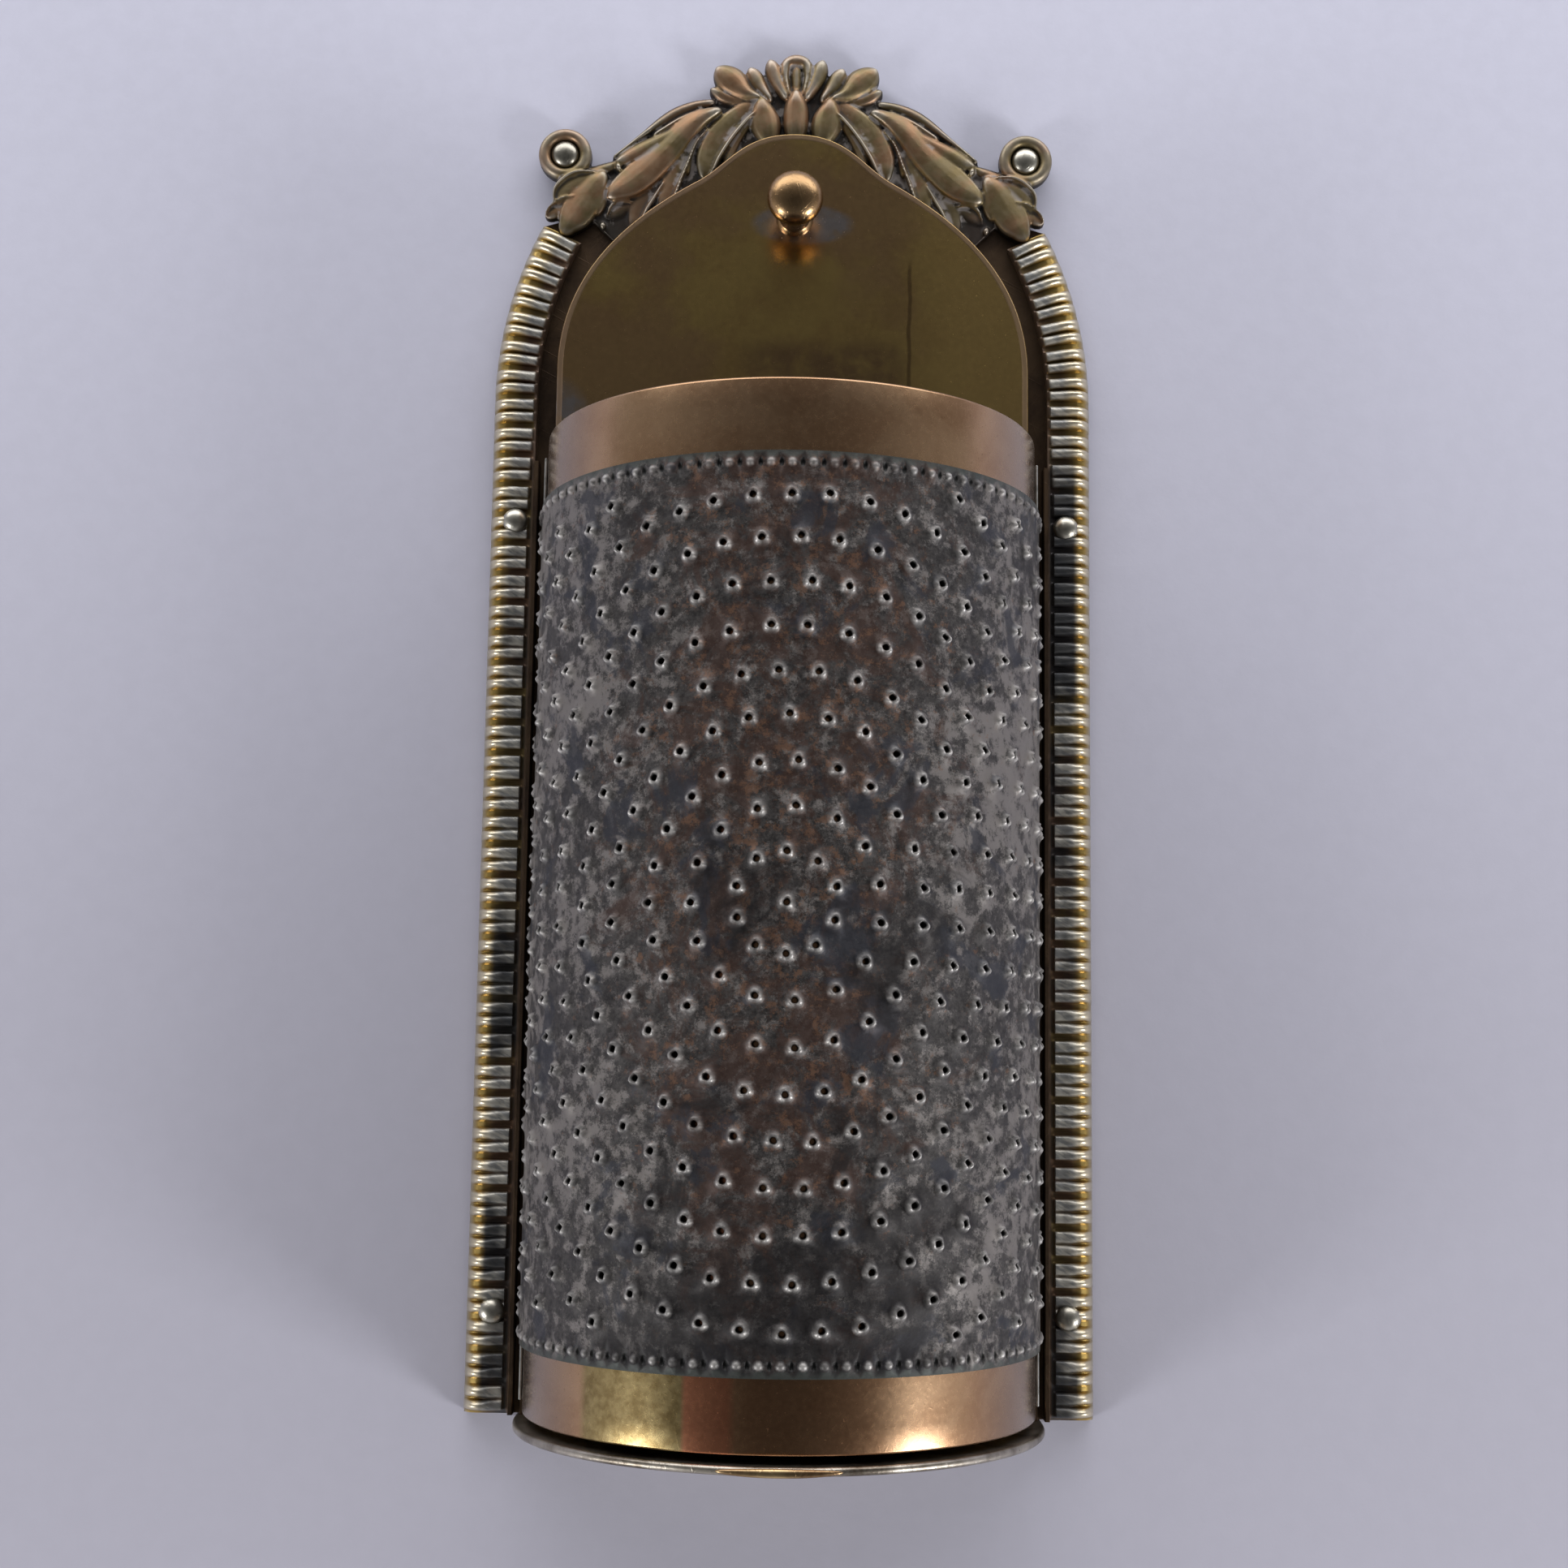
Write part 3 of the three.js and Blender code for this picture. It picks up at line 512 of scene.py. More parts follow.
def crest_material():
    """Cast brass: edges rubbed bright with a painted highlight, brown leaves, painted shade in the hollows and on the
    low ground, and a grey residue in some.
    """
    shader = Shader("crest_brass")
    cavity, height = shader.attribute("cavity"), shader.attribute("height")
    fine = shader.noise(1.1, 5.0, 0.6, seed=31)
    patches = shader.noise(0.22, 4.0, 0.55, seed=32)
    shader.color = shader.mix(patches.between(0.42, 0.58), (0.185, 0.140, 0.065), (0.27, 0.155, 0.085))
    shader.paint((0.27, 0.225, 0.155), fine.between(0.3, 0.7, 0.0, 0.30))
    # Painted shade: the low ground and the feet of the leaves are painted near black
    shader.paint((0.034, 0.031, 0.032), height.between(0.54, 0.34) * 0.90)
    # Painted shade: concave places are painted dark
    hollow = cavity.between(-0.08, -0.40)
    shader.paint((0.040, 0.038, 0.038), hollow * 0.85)
    residue = shader.noise(0.45, 4.0, 0.6, seed=35).between(0.50, 0.58) * cavity.between(0.05, -0.20)
    shader.paint((0.42, 0.385, 0.37), residue * 0.75)
    # Convex edges high up are painted pale: rubbed wear, with a painted highlight
    shader.paint((0.52, 0.48, 0.42), cavity.between(0.10, 0.40) * height.between(0.35, 0.55) * 0.65)
    shader.rough = fine.between(0.3, 0.7, 0.38, 0.50) + hollow * 0.20 + residue * 0.25
    shader.bump(fine, 0.035, 0.5)
    return shader.finish(0.80)


def band_material():
    """Copper-toned satin brass, pinkish grey towards the sides as a painted reflection, with three zones on the lower
    band, olive and red-brown ones on the left, part tarnish and part painted reflection.
    """
    shader = brass("band_brass", (0.46, 0.295, 0.175), (0.35, 0.205, 0.115), 0.20, 41, 0.1, 0.12)
    side, along = shader.axis(0), shader.axis(1)
    # Painted reflection: the band pales to a pinkish grey towards its sides, where it mirrors the pale floor
    shader.paint((0.395, 0.33, 0.285), abs(side).between(16.0, 22.5, 0.0, 0.7))
    upper, lower = along.between(80.0, 95.0), along.between(14.0, 9.0)
    film = upper * shader.noise(0.5, 6.0, 0.7, seed=44).between(0.40, 0.60, 0.35, 0.8)
    shader.paint((0.39, 0.315, 0.25), film)
    specks = shader.noise(1.5, 4.0, 0.6, seed=45).between(0.62, 0.70)
    shader.paint((0.62, 0.58, 0.54), specks * upper * 0.5)
    mottled = shader.noise(0.9, 5.0, 0.65, seed=46).between(0.35, 0.65)
    olive = shader.mix(mottled, (0.165, 0.125, 0.048), (0.30, 0.24, 0.11))
    # Zones across the lower band: part tarnish, part painted reflection of the room's bright and dark stripes
    for left, right, tone, share in [((-6.0, -2.0), (11.0, 5.0), (0.32, 0.165, 0.09), 0.7),
                                     ((-16.9, -16.0), (-7.5, -8.2), olive, 0.85),
                                     ((-8.1, -7.6), (-3.4, -4.4), (0.48, 0.18, 0.10), 0.8)]:
        shader.paint(tone, side.between(*left) * side.between(*right) * lower * share)
    shader.rough += film * 0.12
    return shader.finish()


def plate_material():
    """Polished olive-brown brass with warm clouds, grey stains, a smudge and one long scratch."""
    shader = brass("plate_brass", (0.49, 0.345, 0.125), (0.41, 0.27, 0.105), 0.17, 51, 0.06, 0.2)
    side, along = shader.axis(0), shader.axis(1)
    shader.paint((0.38, 0.235, 0.125), shader.noise(0.07, 4.0, 0.55, seed=55).between(0.46, 0.60, 0.0, 0.75))
    shader.paint((0.60, 0.41, 0.155), side.between(9.0, 17.0, 0.0, 0.8))
    smudge = side.between(-7.0, -2.0) * side.between(12.5, 9.0) * along.between(SMUDGE_TOP, SMUDGE_TOP - 3.0)
    smudged = shader.noise(0.3, 4.0, 0.6, seed=59).between(0.35, 0.60, 0.3, 0.85)
    shader.paint((0.25, 0.155, 0.085), smudge * smudged)
    stained = shader.noise(0.35, 4.0, 0.6, seed=57).between(0.40, 0.60).between(0.0, 1.0, 0.45, 0.9)
    rings = [shader.distance(place, scale).between(*reach) for place, scale, reach in STAINS]
    shader.paint((0.36, 0.335, 0.34), shader.math("MAXIMUM", *rings) * stained)
    wander = shader.noise(0.4, 1.0, seed=58) * 0.4
    line = abs(side - wander - SCRATCH_X).between(SCRATCH_HALF, SCRATCH_CORE)
    line *= along.between(SCRATCH_LOW - 1.0, SCRATCH_LOW + 1.0)
    line *= along.between(SCRATCH_HIGH + 1.0, SCRATCH_HIGH - 1.0)
    shader.paint((0.16, 0.10, 0.05), line * 0.7)
    rim = shader.attribute("rim")
    shader.paint((0.30, 0.205, 0.135), rim * 0.85)
    shader.rough += rim * 0.20
    return shader.finish()


def floor_material():
    """Pale lavender-grey paper with a soft mottling, painted darker towards the foot as painted shade and falloff of
    the light.
    """
    shader = Shader("floor_paper")
    mottle = shader.noise(0.45, 4.0, 0.6, seed=61)
    # Painted shade: the floor darkens towards the foot, standing in for the light's falloff and the object's shade
    # there
    shader.color = shader.mix(shader.axis(1).between(-70.0, 110.0), (0.50, 0.49, 0.58), (0.77, 0.775, 0.935))
    shader.paint((0.30, 0.30, 0.36), mottle.between(0.3, 0.7, 0.0, 0.05))
    shader.rough = 0.75
    shader.bump(mottle, 0.12, 0.3)
    return shader.finish(0.0)


# Rasp

RING_FIRST = 4.3
RING_PITCH = 3.8
RING_FEWEST = 10
TOOTH_SPACING = 3.3
TOOTH_SCATTER = 0.07
TOOTH_MARGIN = 1.6
TOOTH_SIZE = (0.88, 1.12)
TOOTH_LEAN = 0.3
TOOTH_SIDES = 18
# Distances from the sheet's middle line between which the burrs sink to half their height
TOOTH_FADE = (29.0, 33.0)
# How far a burr's torn rim runs out and up at its three lobes, and how unevenly
LOBE_REACH, LOBE_LIFT = 0.10, 0.09
UNEVEN_REACH, UNEVEN_LIFT = 0.06, 0.05
BEAD_SPACING = 1.8
BEAD_INSET = 1.0
BEAD_SIDES = 10
BEAD_SHINE = (0.2, 0.9)
HALF_SHEET = RASP_OUTER * math.pi / 2
HALF_LENGTH = (RASP_END - RASP_START) / 2
END_STRIP = 0.55
SHEET_COLUMNS, SHEET_ROWS = 68, 60
# How near to a hole the sheet's own points come
HOLE_MARGIN = 0.25
# Rings of a burr from the sheet to the bottom of its hole: radius, height, ragged share, rim (wear with painted
# glints), painted pit shade
TOOTH_RINGS = [
    (1.08, 0.00, 0.0, 0.0, 0.0),
    (0.86, 0.07, 0.1, 0.0, 0.0),
    (0.68, 0.22, 0.4, 0.3, 0.0),
    (0.53, 0.40, 0.9, 0.9, 0.0),
    (0.42, 0.46, 1.0, 1.0, 0.0),
    (0.31, 0.38, 0.9, 0.6, 0.3),
    (0.26, 0.20, 0.4, 0.1, 1.0),
    (0.24, -0.10, 0.2, 0.0, 1.0),
    (0.24, -0.35, 0.0, 0.0, 1.0),
]
# Rings of a bead: radius, height, rim. Rings of a pit: radius, height, painted pit shade
BEAD_RINGS = [(0.52, 0.0, 0.0), (0.40, 0.09, 0.1), (0.25, 0.24, 0.7), (0.10, 0.30, 1.0)]
PIT_RINGS = [(0.24, 0.0, 0.3), (0.17, -0.14, 1.0), (0.06, -0.24, 1.0)]
PIT_STRETCH = 2.0
# How much painted shade the sheet's inner face gets
INNER_FACE_SHADE = 0.3


def tooth_places():
    """Places (across, along) of the burrs, in rings round the sheet's middle."""
    half_width = HALF_SHEET - TOOTH_MARGIN
    half_length = HALF_LENGTH - BEAD_INSET - TOOTH_MARGIN
    places = [(0.0, 0.0)]
    ring = 0
    while RING_FIRST + ring * RING_PITCH < math.hypot(half_width, half_length):
        radius = RING_FIRST + ring * RING_PITCH
        count = max(RING_FEWEST, round(FULL_TURN * radius / TOOTH_SPACING))
        for i in range(count):
            angle = FULL_TURN * (i + 0.5) / count
            across = radius * math.cos(angle) + random.normal(0, TOOTH_SCATTER)
            along = radius * math.sin(angle) + random.normal(0, TOOTH_SCATTER)
            if abs(across) < half_width and abs(along) < half_length:
                places.append((across, along))
        ring += 1
    return places


def bead_places():
    """Places of the small beads in the rows beside the sheet's two ends."""
    count = int(2 * HALF_SHEET / BEAD_SPACING)
    return [((i - (count - 1) / 2) * BEAD_SPACING, side * (HALF_LENGTH - BEAD_INSET))
            for side in (-1, 1) for i in range(count)]


def roll(flat):
    """Points (across, along, height) on the flat sheet to points on the rolled one."""
    skirt = np.maximum(np.abs(flat[:, 0]) - HALF_SHEET, 0)
    angle = np.clip(flat[:, 0], -HALF_SHEET, HALF_SHEET) / RASP_OUTER
    radius = RASP_OUTER + flat[:, 2]
    z = AXIS_Z + radius * np.cos(angle) - skirt
    return np.stack([radius * np.sin(angle), RASP_MIDDLE + flat[:, 1], z], 1)


def sheet_triangles(holes):
    """Triangles of the flat sheet round circular holes, with points spread between them."""
    half_width = HALF_SHEET + RUNNING_GAP
    across = [-half_width + 2 * half_width * i / SHEET_COLUMNS for i in range(SHEET_COLUMNS)]
    along = [-HALF_LENGTH + 2 * HALF_LENGTH * i / SHEET_ROWS for i in range(SHEET_ROWS)]
    flat, loops = [], []
    for centre, radius, sides in holes:
        loops.append(list(range(len(flat), len(flat) + sides)))
        flat += circle(centre, radius, sides)
    border = [(x, -HALF_LENGTH) for x in across] + [(half_width, y) for y in along]
    border += [(-x, -y) for x, y in border]
    rim = list(range(len(flat), len(flat) + len(border)))
    flat += border
    centres = np.array([hole[0] for hole in holes])
    radii = np.array([hole[1] for hole in holes])
    for x in across[1:]:
        for y in along[1:]:
            if (np.linalg.norm(centres - (x, y), axis=1) > radii + HOLE_MARGIN).all():
                flat.append((x, y))
    edges = [(loop[i], loop[(i + 1) % len(loop)]) for loop in loops + [rim] for i in range(len(loop))]
    found = delaunay_2d_cdt([Vector(place) for place in flat], edges, [], 0, 1e-5)
    places = np.array([tuple(place) for place in found[0]])
    assert len(places) == len(flat)
    faces = []
    for face in found[2]:
        if (np.linalg.norm(centres - places[list(face)].mean(0), axis=1) > radii * 0.93).all():
            faces.append(tuple(face))
    return places, faces, loops, rim


def rasp_mesh():
    """The rolled sheet with its burrs, beads and pits, and the values its material reads."""
    teeth, beads = tooth_places(), bead_places()
    pits = [(x + BEAD_SPACING / 2, y) for x, y in beads]
    holes = [(place, TOOTH_RINGS[0][0], TOOTH_SIDES) for place in teeth]
    holes += [(place, BEAD_RINGS[0][0], BEAD_SIDES) for place in beads]
    holes += [(place, PIT_RINGS[0][0], BEAD_SIDES) for place in pits]
    flat, faces, loops, rim = sheet_triangles(holes)
    # Of each point: across, along, height, then its shares of end strip, worn rim with painted glints, and painted pit
    # shade
    points = [[x, y, 0.0, float(abs(y) > HALF_LENGTH - END_STRIP), 0.0, 0.0] for x, y in flat.tolist()]

    def bridge(first, second):
        for i in range(len(first)):
            k = (i + 1) % len(first)
            faces.append((first[i], first[k], second[k], second[i]))

    def ring_within(above, centre, radii, heights, worn, pit):
        """Adds a ring of points inside another, and the faces between the two."""
        below = list(range(len(points), len(points) + len(above)))
        radii, heights, worn = [np.broadcast_to(values, len(above)) for values in (radii, heights, worn)]
        for i in range(len(above)):
            angle = FULL_TURN * i / len(above)
            points.append([centre[0] + radii[i] * math.cos(angle), centre[1] + radii[i] * math.sin(angle),
                           heights[i], 0.0, worn[i], pit])
        bridge(above, below)
        return below

    inner_loops = []
    for above, centre in zip(loops, teeth):
        size = random.uniform(*TOOTH_SIZE) * (1 - 0.5 * float(smoothstep(*TOOTH_FADE, abs(centre[0]))))
        lean = random.uniform(-TOOTH_LEAN, TOOTH_LEAN)
        wobble = random.uniform(0, FULL_TURN)
        angles = FULL_TURN * np.arange(TOOTH_SIDES) / TOOTH_SIDES
        lobes = np.cos(3 * (angles + lean - math.pi / 2))
        for radius, height, share, rim_value, pit_shade_value in TOOTH_RINGS[1:]:
            radii = radius * (1 + share * (LOBE_REACH * lobes + UNEVEN_REACH * np.cos(2 * angles + wobble)))
            heights = height * (size if height > 0 else 1)
            heights = heights + share * (LOBE_LIFT * lobes + UNEVEN_LIFT * np.cos(angles + wobble))
            # The rim's pale share: even wear, plus painted glints at its lower left and lower right lobes
            worn = rim_value * (0.25 + 0.95 * (0.5 + 0.5 * lobes) * (0.6 - 0.4 * np.sin(angles)))
            above = ring_within(above, centre, radii, heights, worn, pit_shade_value)
        inner_loops.append(above)
    for above, centre in zip(loops[len(teeth):], beads):
        shine = random.uniform(*BEAD_SHINE)
        for radius, height, value in BEAD_RINGS[1:]:
            above = ring_within(above, centre, radius, height, value * shine, 0.0)
        faces.append(tuple(above))
    for above, centre in zip(loops[len(teeth) + len(beads):], pits):
        mouth, start = above, len(points)
        for i in mouth:
            points[i][5] = PIT_RINGS[0][2]
        for radius, height, value in PIT_RINGS[1:]:
            above = ring_within(above, centre, radius, height, 0.0, value)
        faces.append(tuple(above))
        for i in [*mouth, *range(start, len(points))]:
            points[i][1] = centre[1] + (points[i][1] - centre[1]) * PIT_STRETCH

    # The sheet's inner face: the same edge, with the burrs' holes cut through it
    back, back_faces, back_loops, back_rim = sheet_triangles(
        [(centre, TOOTH_RINGS[-1][0], TOOTH_SIDES) for centre in teeth])
    start = len(points)
    points += [[x, y, -SHEET_THICKNESS, 0.0, 0.0, INNER_FACE_SHADE] for x, y in back]
    faces += [tuple(start + i for i in reversed(face)) for face in back_faces]
    for above, loop in zip(inner_loops, back_loops):
        bridge(above, [start + i for i in loop])
    bridge(rim[::-1], [start + i for i in back_rim[::-1]])
    points = np.array(points)
    values = {"sheet": points[:, :3], "edge": points[:, 3], "rim": points[:, 4], "pit": points[:, 5]}
    return roll(points), faces, values


def rounded_block(low, high, radius):
    """A box with rounded edges between two corners."""
    body = bmesh.new()
    bmesh.ops.create_cube(body, size=1.0)
    for vertex in body.verts:
        for k in range(3):
            vertex.co[k] = low[k] if vertex.co[k] < 0 else high[k]
    bmesh.ops.bevel(body, geom=list(body.edges), offset=radius, segments=3, affect="EDGES", profile=0.5)
    points = np.array([tuple(vertex.co) for vertex in body.verts])
    body.verts.index_update()
    faces = [tuple(vertex.index for vertex in face.verts) for face in body.faces]
    body.free()
    return points, faces


TONGUE_LENGTH = 5.3
TONGUE_HEIGHT = 1.3
TAB_FILING = 0.05
EAR_WIDTH = 4.4
EAR_MARGIN = 1.3
SEAT_GAP = 0.1
# The look of the tongues and ears: how far apart the material's patches are, and how worn
TAB_SPREAD = 1.6
TAB_WEAR = 0.45


def rasp_tabs(rivets):
    """The tongues beside the bands, and the ears that turn out under the rails."""
    near, far = RASP_INNER + TAB_FILING, RASP_OUTER - TAB_FILING
    bottom = GUIDE_TOP + SEAT_GAP
    ear_top = FRAME_TOP - SEAT_GAP
    ear_bottom = ear_top - SHEET_THICKNESS
    lap = SHEET_THICKNESS / 2
    tabs = []
    for start, end in ((RASP_START - TONGUE_LENGTH, RASP_START + lap), (RASP_END - lap, RASP_END + TONGUE_LENGTH)):
        tabs.append(rounded_block((near, start, bottom), (far, end, bottom + TONGUE_HEIGHT), 0.11))
    for x, y in rivets:
        low, high = y - EAR_WIDTH / 2, y + EAR_WIDTH / 2
        tabs.append(rounded_block((near, low, ear_bottom), (far, high, bottom + lap), 0.1))
        tabs.append(rounded_block((near, low, ear_bottom), (x + EAR_MARGIN, high, ear_top), 0.12))
    return tabs + [mirror(tab) for tab in tabs]


def rasp_part(rivets):
    """The rasp with its tongues and ears, and the values its material reads."""
    points, faces, values = rasp_mesh()
    tabs = merge(rasp_tabs(rivets))
    count = len(tabs[0])
    tab_values = {"sheet": tabs[0] * (TAB_SPREAD, 1, 1), "edge": np.ones(count),
                  "rim": np.full(count, TAB_WEAR), "pit": np.zeros(count)}
    return merge([(points, faces), tabs]), {key: np.concatenate([values[key], tab_values[key]]) for key in values}


# Borders

SHOULDER_RADIUS = 37.4
SHOULDER_ANGLE = math.radians(26.7)
SHOULDER_START = SHELL_END + 5.1
BORDER_WIDTH = RAIL_OUTER - BORDER_INNER
BORDER_CENTRE = (RAIL_OUTER + BORDER_INNER) / 2
SHOULDER_CENTRE = BORDER_CENTRE - SHOULDER_RADIUS
BORDER_LENGTH = SHOULDER_START + SHOULDER_RADIUS * SHOULDER_ANGLE
# Where the ridges change from the rails' form to the shoulders'
BEND_START, BEND_END = SHOULDER_START - 12, SHOULDER_START + 1
GADROON_PITCH = 2.9
# A pitch's two ridges: middle and half width, as shares of the pitch, and how much wider they get inwards
RIDGES = ((0.275, 0.165), (0.705, 0.185))
RIDGE_WIDENING = 0.13
# Inwards on the rails the two merge into one panel with a dip: shares of the pitch and of a ridge's height
PANEL_SIDE = (0.06, 0.17)
PANEL_HEIGHT, PANEL_SHARE, RIDGE_SHARE = 0.92, 0.85, 0.96
DIP_DEPTH, DIP_AT, DIP_WIDTH = 0.30, 0.48, 0.07
# Places across the border, from -1 at its inner edge to 1: the panel's fade, the ridges' inner end on the
# rails, how far it moves on the shoulders, and the run over which the ridges sink there
PANEL_FADE = (0.40, -0.30)
RIDGE_END, RIDGE_END_SHIFT, RIDGE_END_RUN = -0.77, -0.16, (-0.06, 0.05)
# The painted shade of a small hollow beside that end, which the mesh doesn't carve, the same way, and the part of a
# pitch that has it
HOLLOW_AT, HOLLOW_SHIFT, HOLLOW_WIDTH = 0.84, 0.10, 0.07
HOLLOW_START, HOLLOW_END = 0.14, 0.86
# How much of a ridge wear takes, and the places across between which it comes in
WEAR_DEPTH, WEAR_FADE = 0.25, (0.1, -0.5)
# The border's height at its cut ends as a share of the full height, what it gains, and over how far
END_HEIGHT, END_GAIN, END_RUN = 0.55, 0.45, 0.5
RIDGE_HEIGHT = BORDER_TOP - FRAME_TOP
CREST_RELIEF = GUIDE_TOP - FRAME_TOP
SINK_LENGTH = 0.8 * SHOULDER_RADIUS * SHOULDER_ANGLE
STEPS_PER_PAIR = 26
STEPS_ACROSS = 30
# Heights across the border from its inner edge, -1, to its outer edge, 1, as shares of a ridge's
RIDGE_RISE = [(-1, 0.78), (-0.85, 0.86), (-0.6, 0.92), (-0.2, 0.97), (0.1, 1.0), (0.35, 0.98), (0.55, 0.92),
              (0.75, 0.76), (0.9, 0.50), (1, 0.16)]
GROOVE_RISE = [(-1, 0.60), (-0.9, 0.62), (-0.82, 0.58), (-0.5, 0.56), (0.0, 0.60), (0.4, 0.58), (0.7, 0.46),
               (0.9, 0.22), (1, 0.04)]


def rail_point(distance, offset):
    """A point on the border's line, a distance from the foot and an offset outwards."""
    if distance <= SHOULDER_START:
        return BORDER_CENTRE + offset, distance
    angle = (distance - SHOULDER_START) / SHOULDER_RADIUS
    radius = SHOULDER_RADIUS + offset
    return SHOULDER_CENTRE + radius * math.cos(angle), SHOULDER_START + radius * math.sin(angle)


def border_relief(phase, out, bend):
    """How far up a ridge a point is: two round ridges to a pitch, nearly one inwards on the rails."""
    widen = 1 + RIDGE_WIDENING * (1 - out) / 2
    low, high = [np.sqrt(np.clip(1 - ((phase - centre) / (half * widen)) ** 2, 0, 1))
                 for centre, half in RIDGES]
    ridges = np.maximum(low, high)
    dip = DIP_DEPTH * math.exp(-((phase - DIP_AT) / DIP_WIDTH) ** 2)
    panel = smoothstep(*PANEL_SIDE, min(phase, 1 - phase)) * (PANEL_HEIGHT - dip)
    flat = PANEL_SHARE * smoothstep(*PANEL_FADE, out) * (1 - bend)
    relief = ridges + (np.maximum(ridges * RIDGE_SHARE, panel) - ridges) * flat
    inner_end = RIDGE_END + RIDGE_END_SHIFT * bend
    return np.clip(relief * smoothstep(*(inner_end + run for run in RIDGE_END_RUN), out), 0, 1)


def border_mesh(wear_seed):
    """The ridged strip of the right rail, with its relief kept for the material."""
    pairs = round(BORDER_LENGTH / GADROON_PITCH)
    rows, columns = pairs * STEPS_PER_PAIR + 1, STEPS_ACROSS + 2
    out = np.linspace(-1, 1, STEPS_ACROSS)
    ridge_rise, groove_rise = [np.interp(out, *zip(*rises)) for rises in (RIDGE_RISE, GROOVE_RISE)]
    points, details, hollow_shades = [], [], []
    wave = np.random.default_rng(wear_seed).uniform(0, FULL_TURN, 3)
    for distance in np.linspace(0, BORDER_LENGTH, rows):
        phase = distance / BORDER_LENGTH * pairs % 1
        sunk = np.clip((distance - SHOULDER_START) / SINK_LENGTH, 0, 1)
        scale = RIDGE_HEIGHT * (1 + (CREST_RELIEF / RIDGE_HEIGHT - 1) * sunk)
        bend = float(smoothstep(BEND_START, BEND_END, distance))
        worn = 0.5 + 0.5 * math.sin(distance * 0.11 + wave[0]) * math.sin(distance * 0.043 + wave[1])
        relief = border_relief(phase, out, bend) * (1 - WEAR_DEPTH * worn * smoothstep(*WEAR_FADE, out))
        rise = groove_rise + (ridge_rise - groove_rise) * relief
        end = min(distance, BORDER_LENGTH - distance)
        rise = rise * (END_HEIGHT + END_GAIN * smoothstep(0, END_RUN, end))
        for k in range(STEPS_ACROSS):
            x, y = rail_point(distance, out[k] * BORDER_WIDTH / 2)
            points.append((x, y, FRAME_TOP + rise[k] * scale))
            details.append((out[k], distance, relief[k]))
            mark = math.exp(-((out[k] + HOLLOW_AT + HOLLOW_SHIFT * bend) / HOLLOW_WIDTH) ** 2)
            hollow_shades.append(mark * float(HOLLOW_START < phase < HOLLOW_END) * (1 - 0.6 * relief[k]))
        for edge in (1, -1):
            points.append((*rail_point(distance, edge * BORDER_WIDTH / 2), FRAME_TOP))
            details.append((edge, distance, 0.0))
            hollow_shades.append(0.0)
    faces = [tuple(reversed(face)) for face in grid_faces(rows, columns)]
    faces.append(tuple(range(columns)))
    faces.append(tuple((rows - 1) * columns + i for i in range(columns - 1, -1, -1)))
    return (np.array(points), faces), {"border": details, "hollow": hollow_shades}


# Crest

# Each lobe: points of its middle line as x, y and half width, from the middle line and the borders'
# ends, then its top as a share of the crest's height, and its surface
LEAVES = [
    ([(8.3, 13.7, 0.45), (10.0, 13.35, 0.55), (11.7, 12.65, 0.6), (13.2, 11.65, 0.55), (14.8, 10.4, 0.35),
      (16.6, 8.9, 0.25), (17.8, 7.9, 0.2)], 0.55, "ridge"),
    ([(9.3, 12.8, 0.25), (11.4, 11.75, 0.35), (13.8, 10.15, 0.3)], 0.72, "ridge"),
    ([(16.9, 7.4, 0.45), (18.7, 6.7, 0.65), (20.3, 6.15, 0.7), (22.2, 5.85, 0.6)], 0.55, "ridge"),
    ([(11.3, 10.9, 0.3), (13.1, 9.6, 0.75), (14.5, 8.75, 0.95), (15.9, 7.95, 0.95), (17.2, 7.35, 0.6)], 0.80, "dome"),
    ([(7.6, 12.7, 0.4), (9.3, 11.9, 0.8), (11.0, 10.4, 1.1), (12.5, 8.6, 1.3), (14.2, 6.8, 1.45), (15.9, 5.3, 1.45),
      (17.7, 4.1, 0.95)], 0.92, "leaf"),
    ([(8.9, 10.9, 0.3), (10.2, 9.5, 0.55), (11.3, 7.35, 0.85), (12.1, 5.5, 0.95), (12.7, 3.2, 0.8)], 0.78, "rim_right"),
    ([(13.2, 5.6, 0.5), (14.4, 4.3, 0.95), (15.2, 2.9, 0.95), (15.7, 1.0, 0.6)], 0.66, "rim_right"),
    ([(16.0, 3.0, 0.35), (17.2, 2.6, 0.8), (18.0, 1.9, 0.5)], 0.60, "rim_left"),
    ([(9.6, 10.1, 0.2), (10.3, 8.2, 0.4), (10.6, 6.3, 0.35)], 0.60, "ridge"),
    ([(3.4, 13.7, 0.6), (5.3, 12.5, 1.0), (7.2, 10.5, 1.3), (8.4, 8.3, 1.2), (8.8, 6.4, 0.8)], 0.90, "rim_right"),
    ([(4.7, 11.3, 0.3), (5.9, 9.6, 0.6), (6.7, 7.6, 0.6)], 0.62, "ridge"),
    ([(3.4, 13.5, 0.9), (3.1, 11.9, 1.4), (2.7, 10.2, 1.25)], 1.0, "dome"),
]
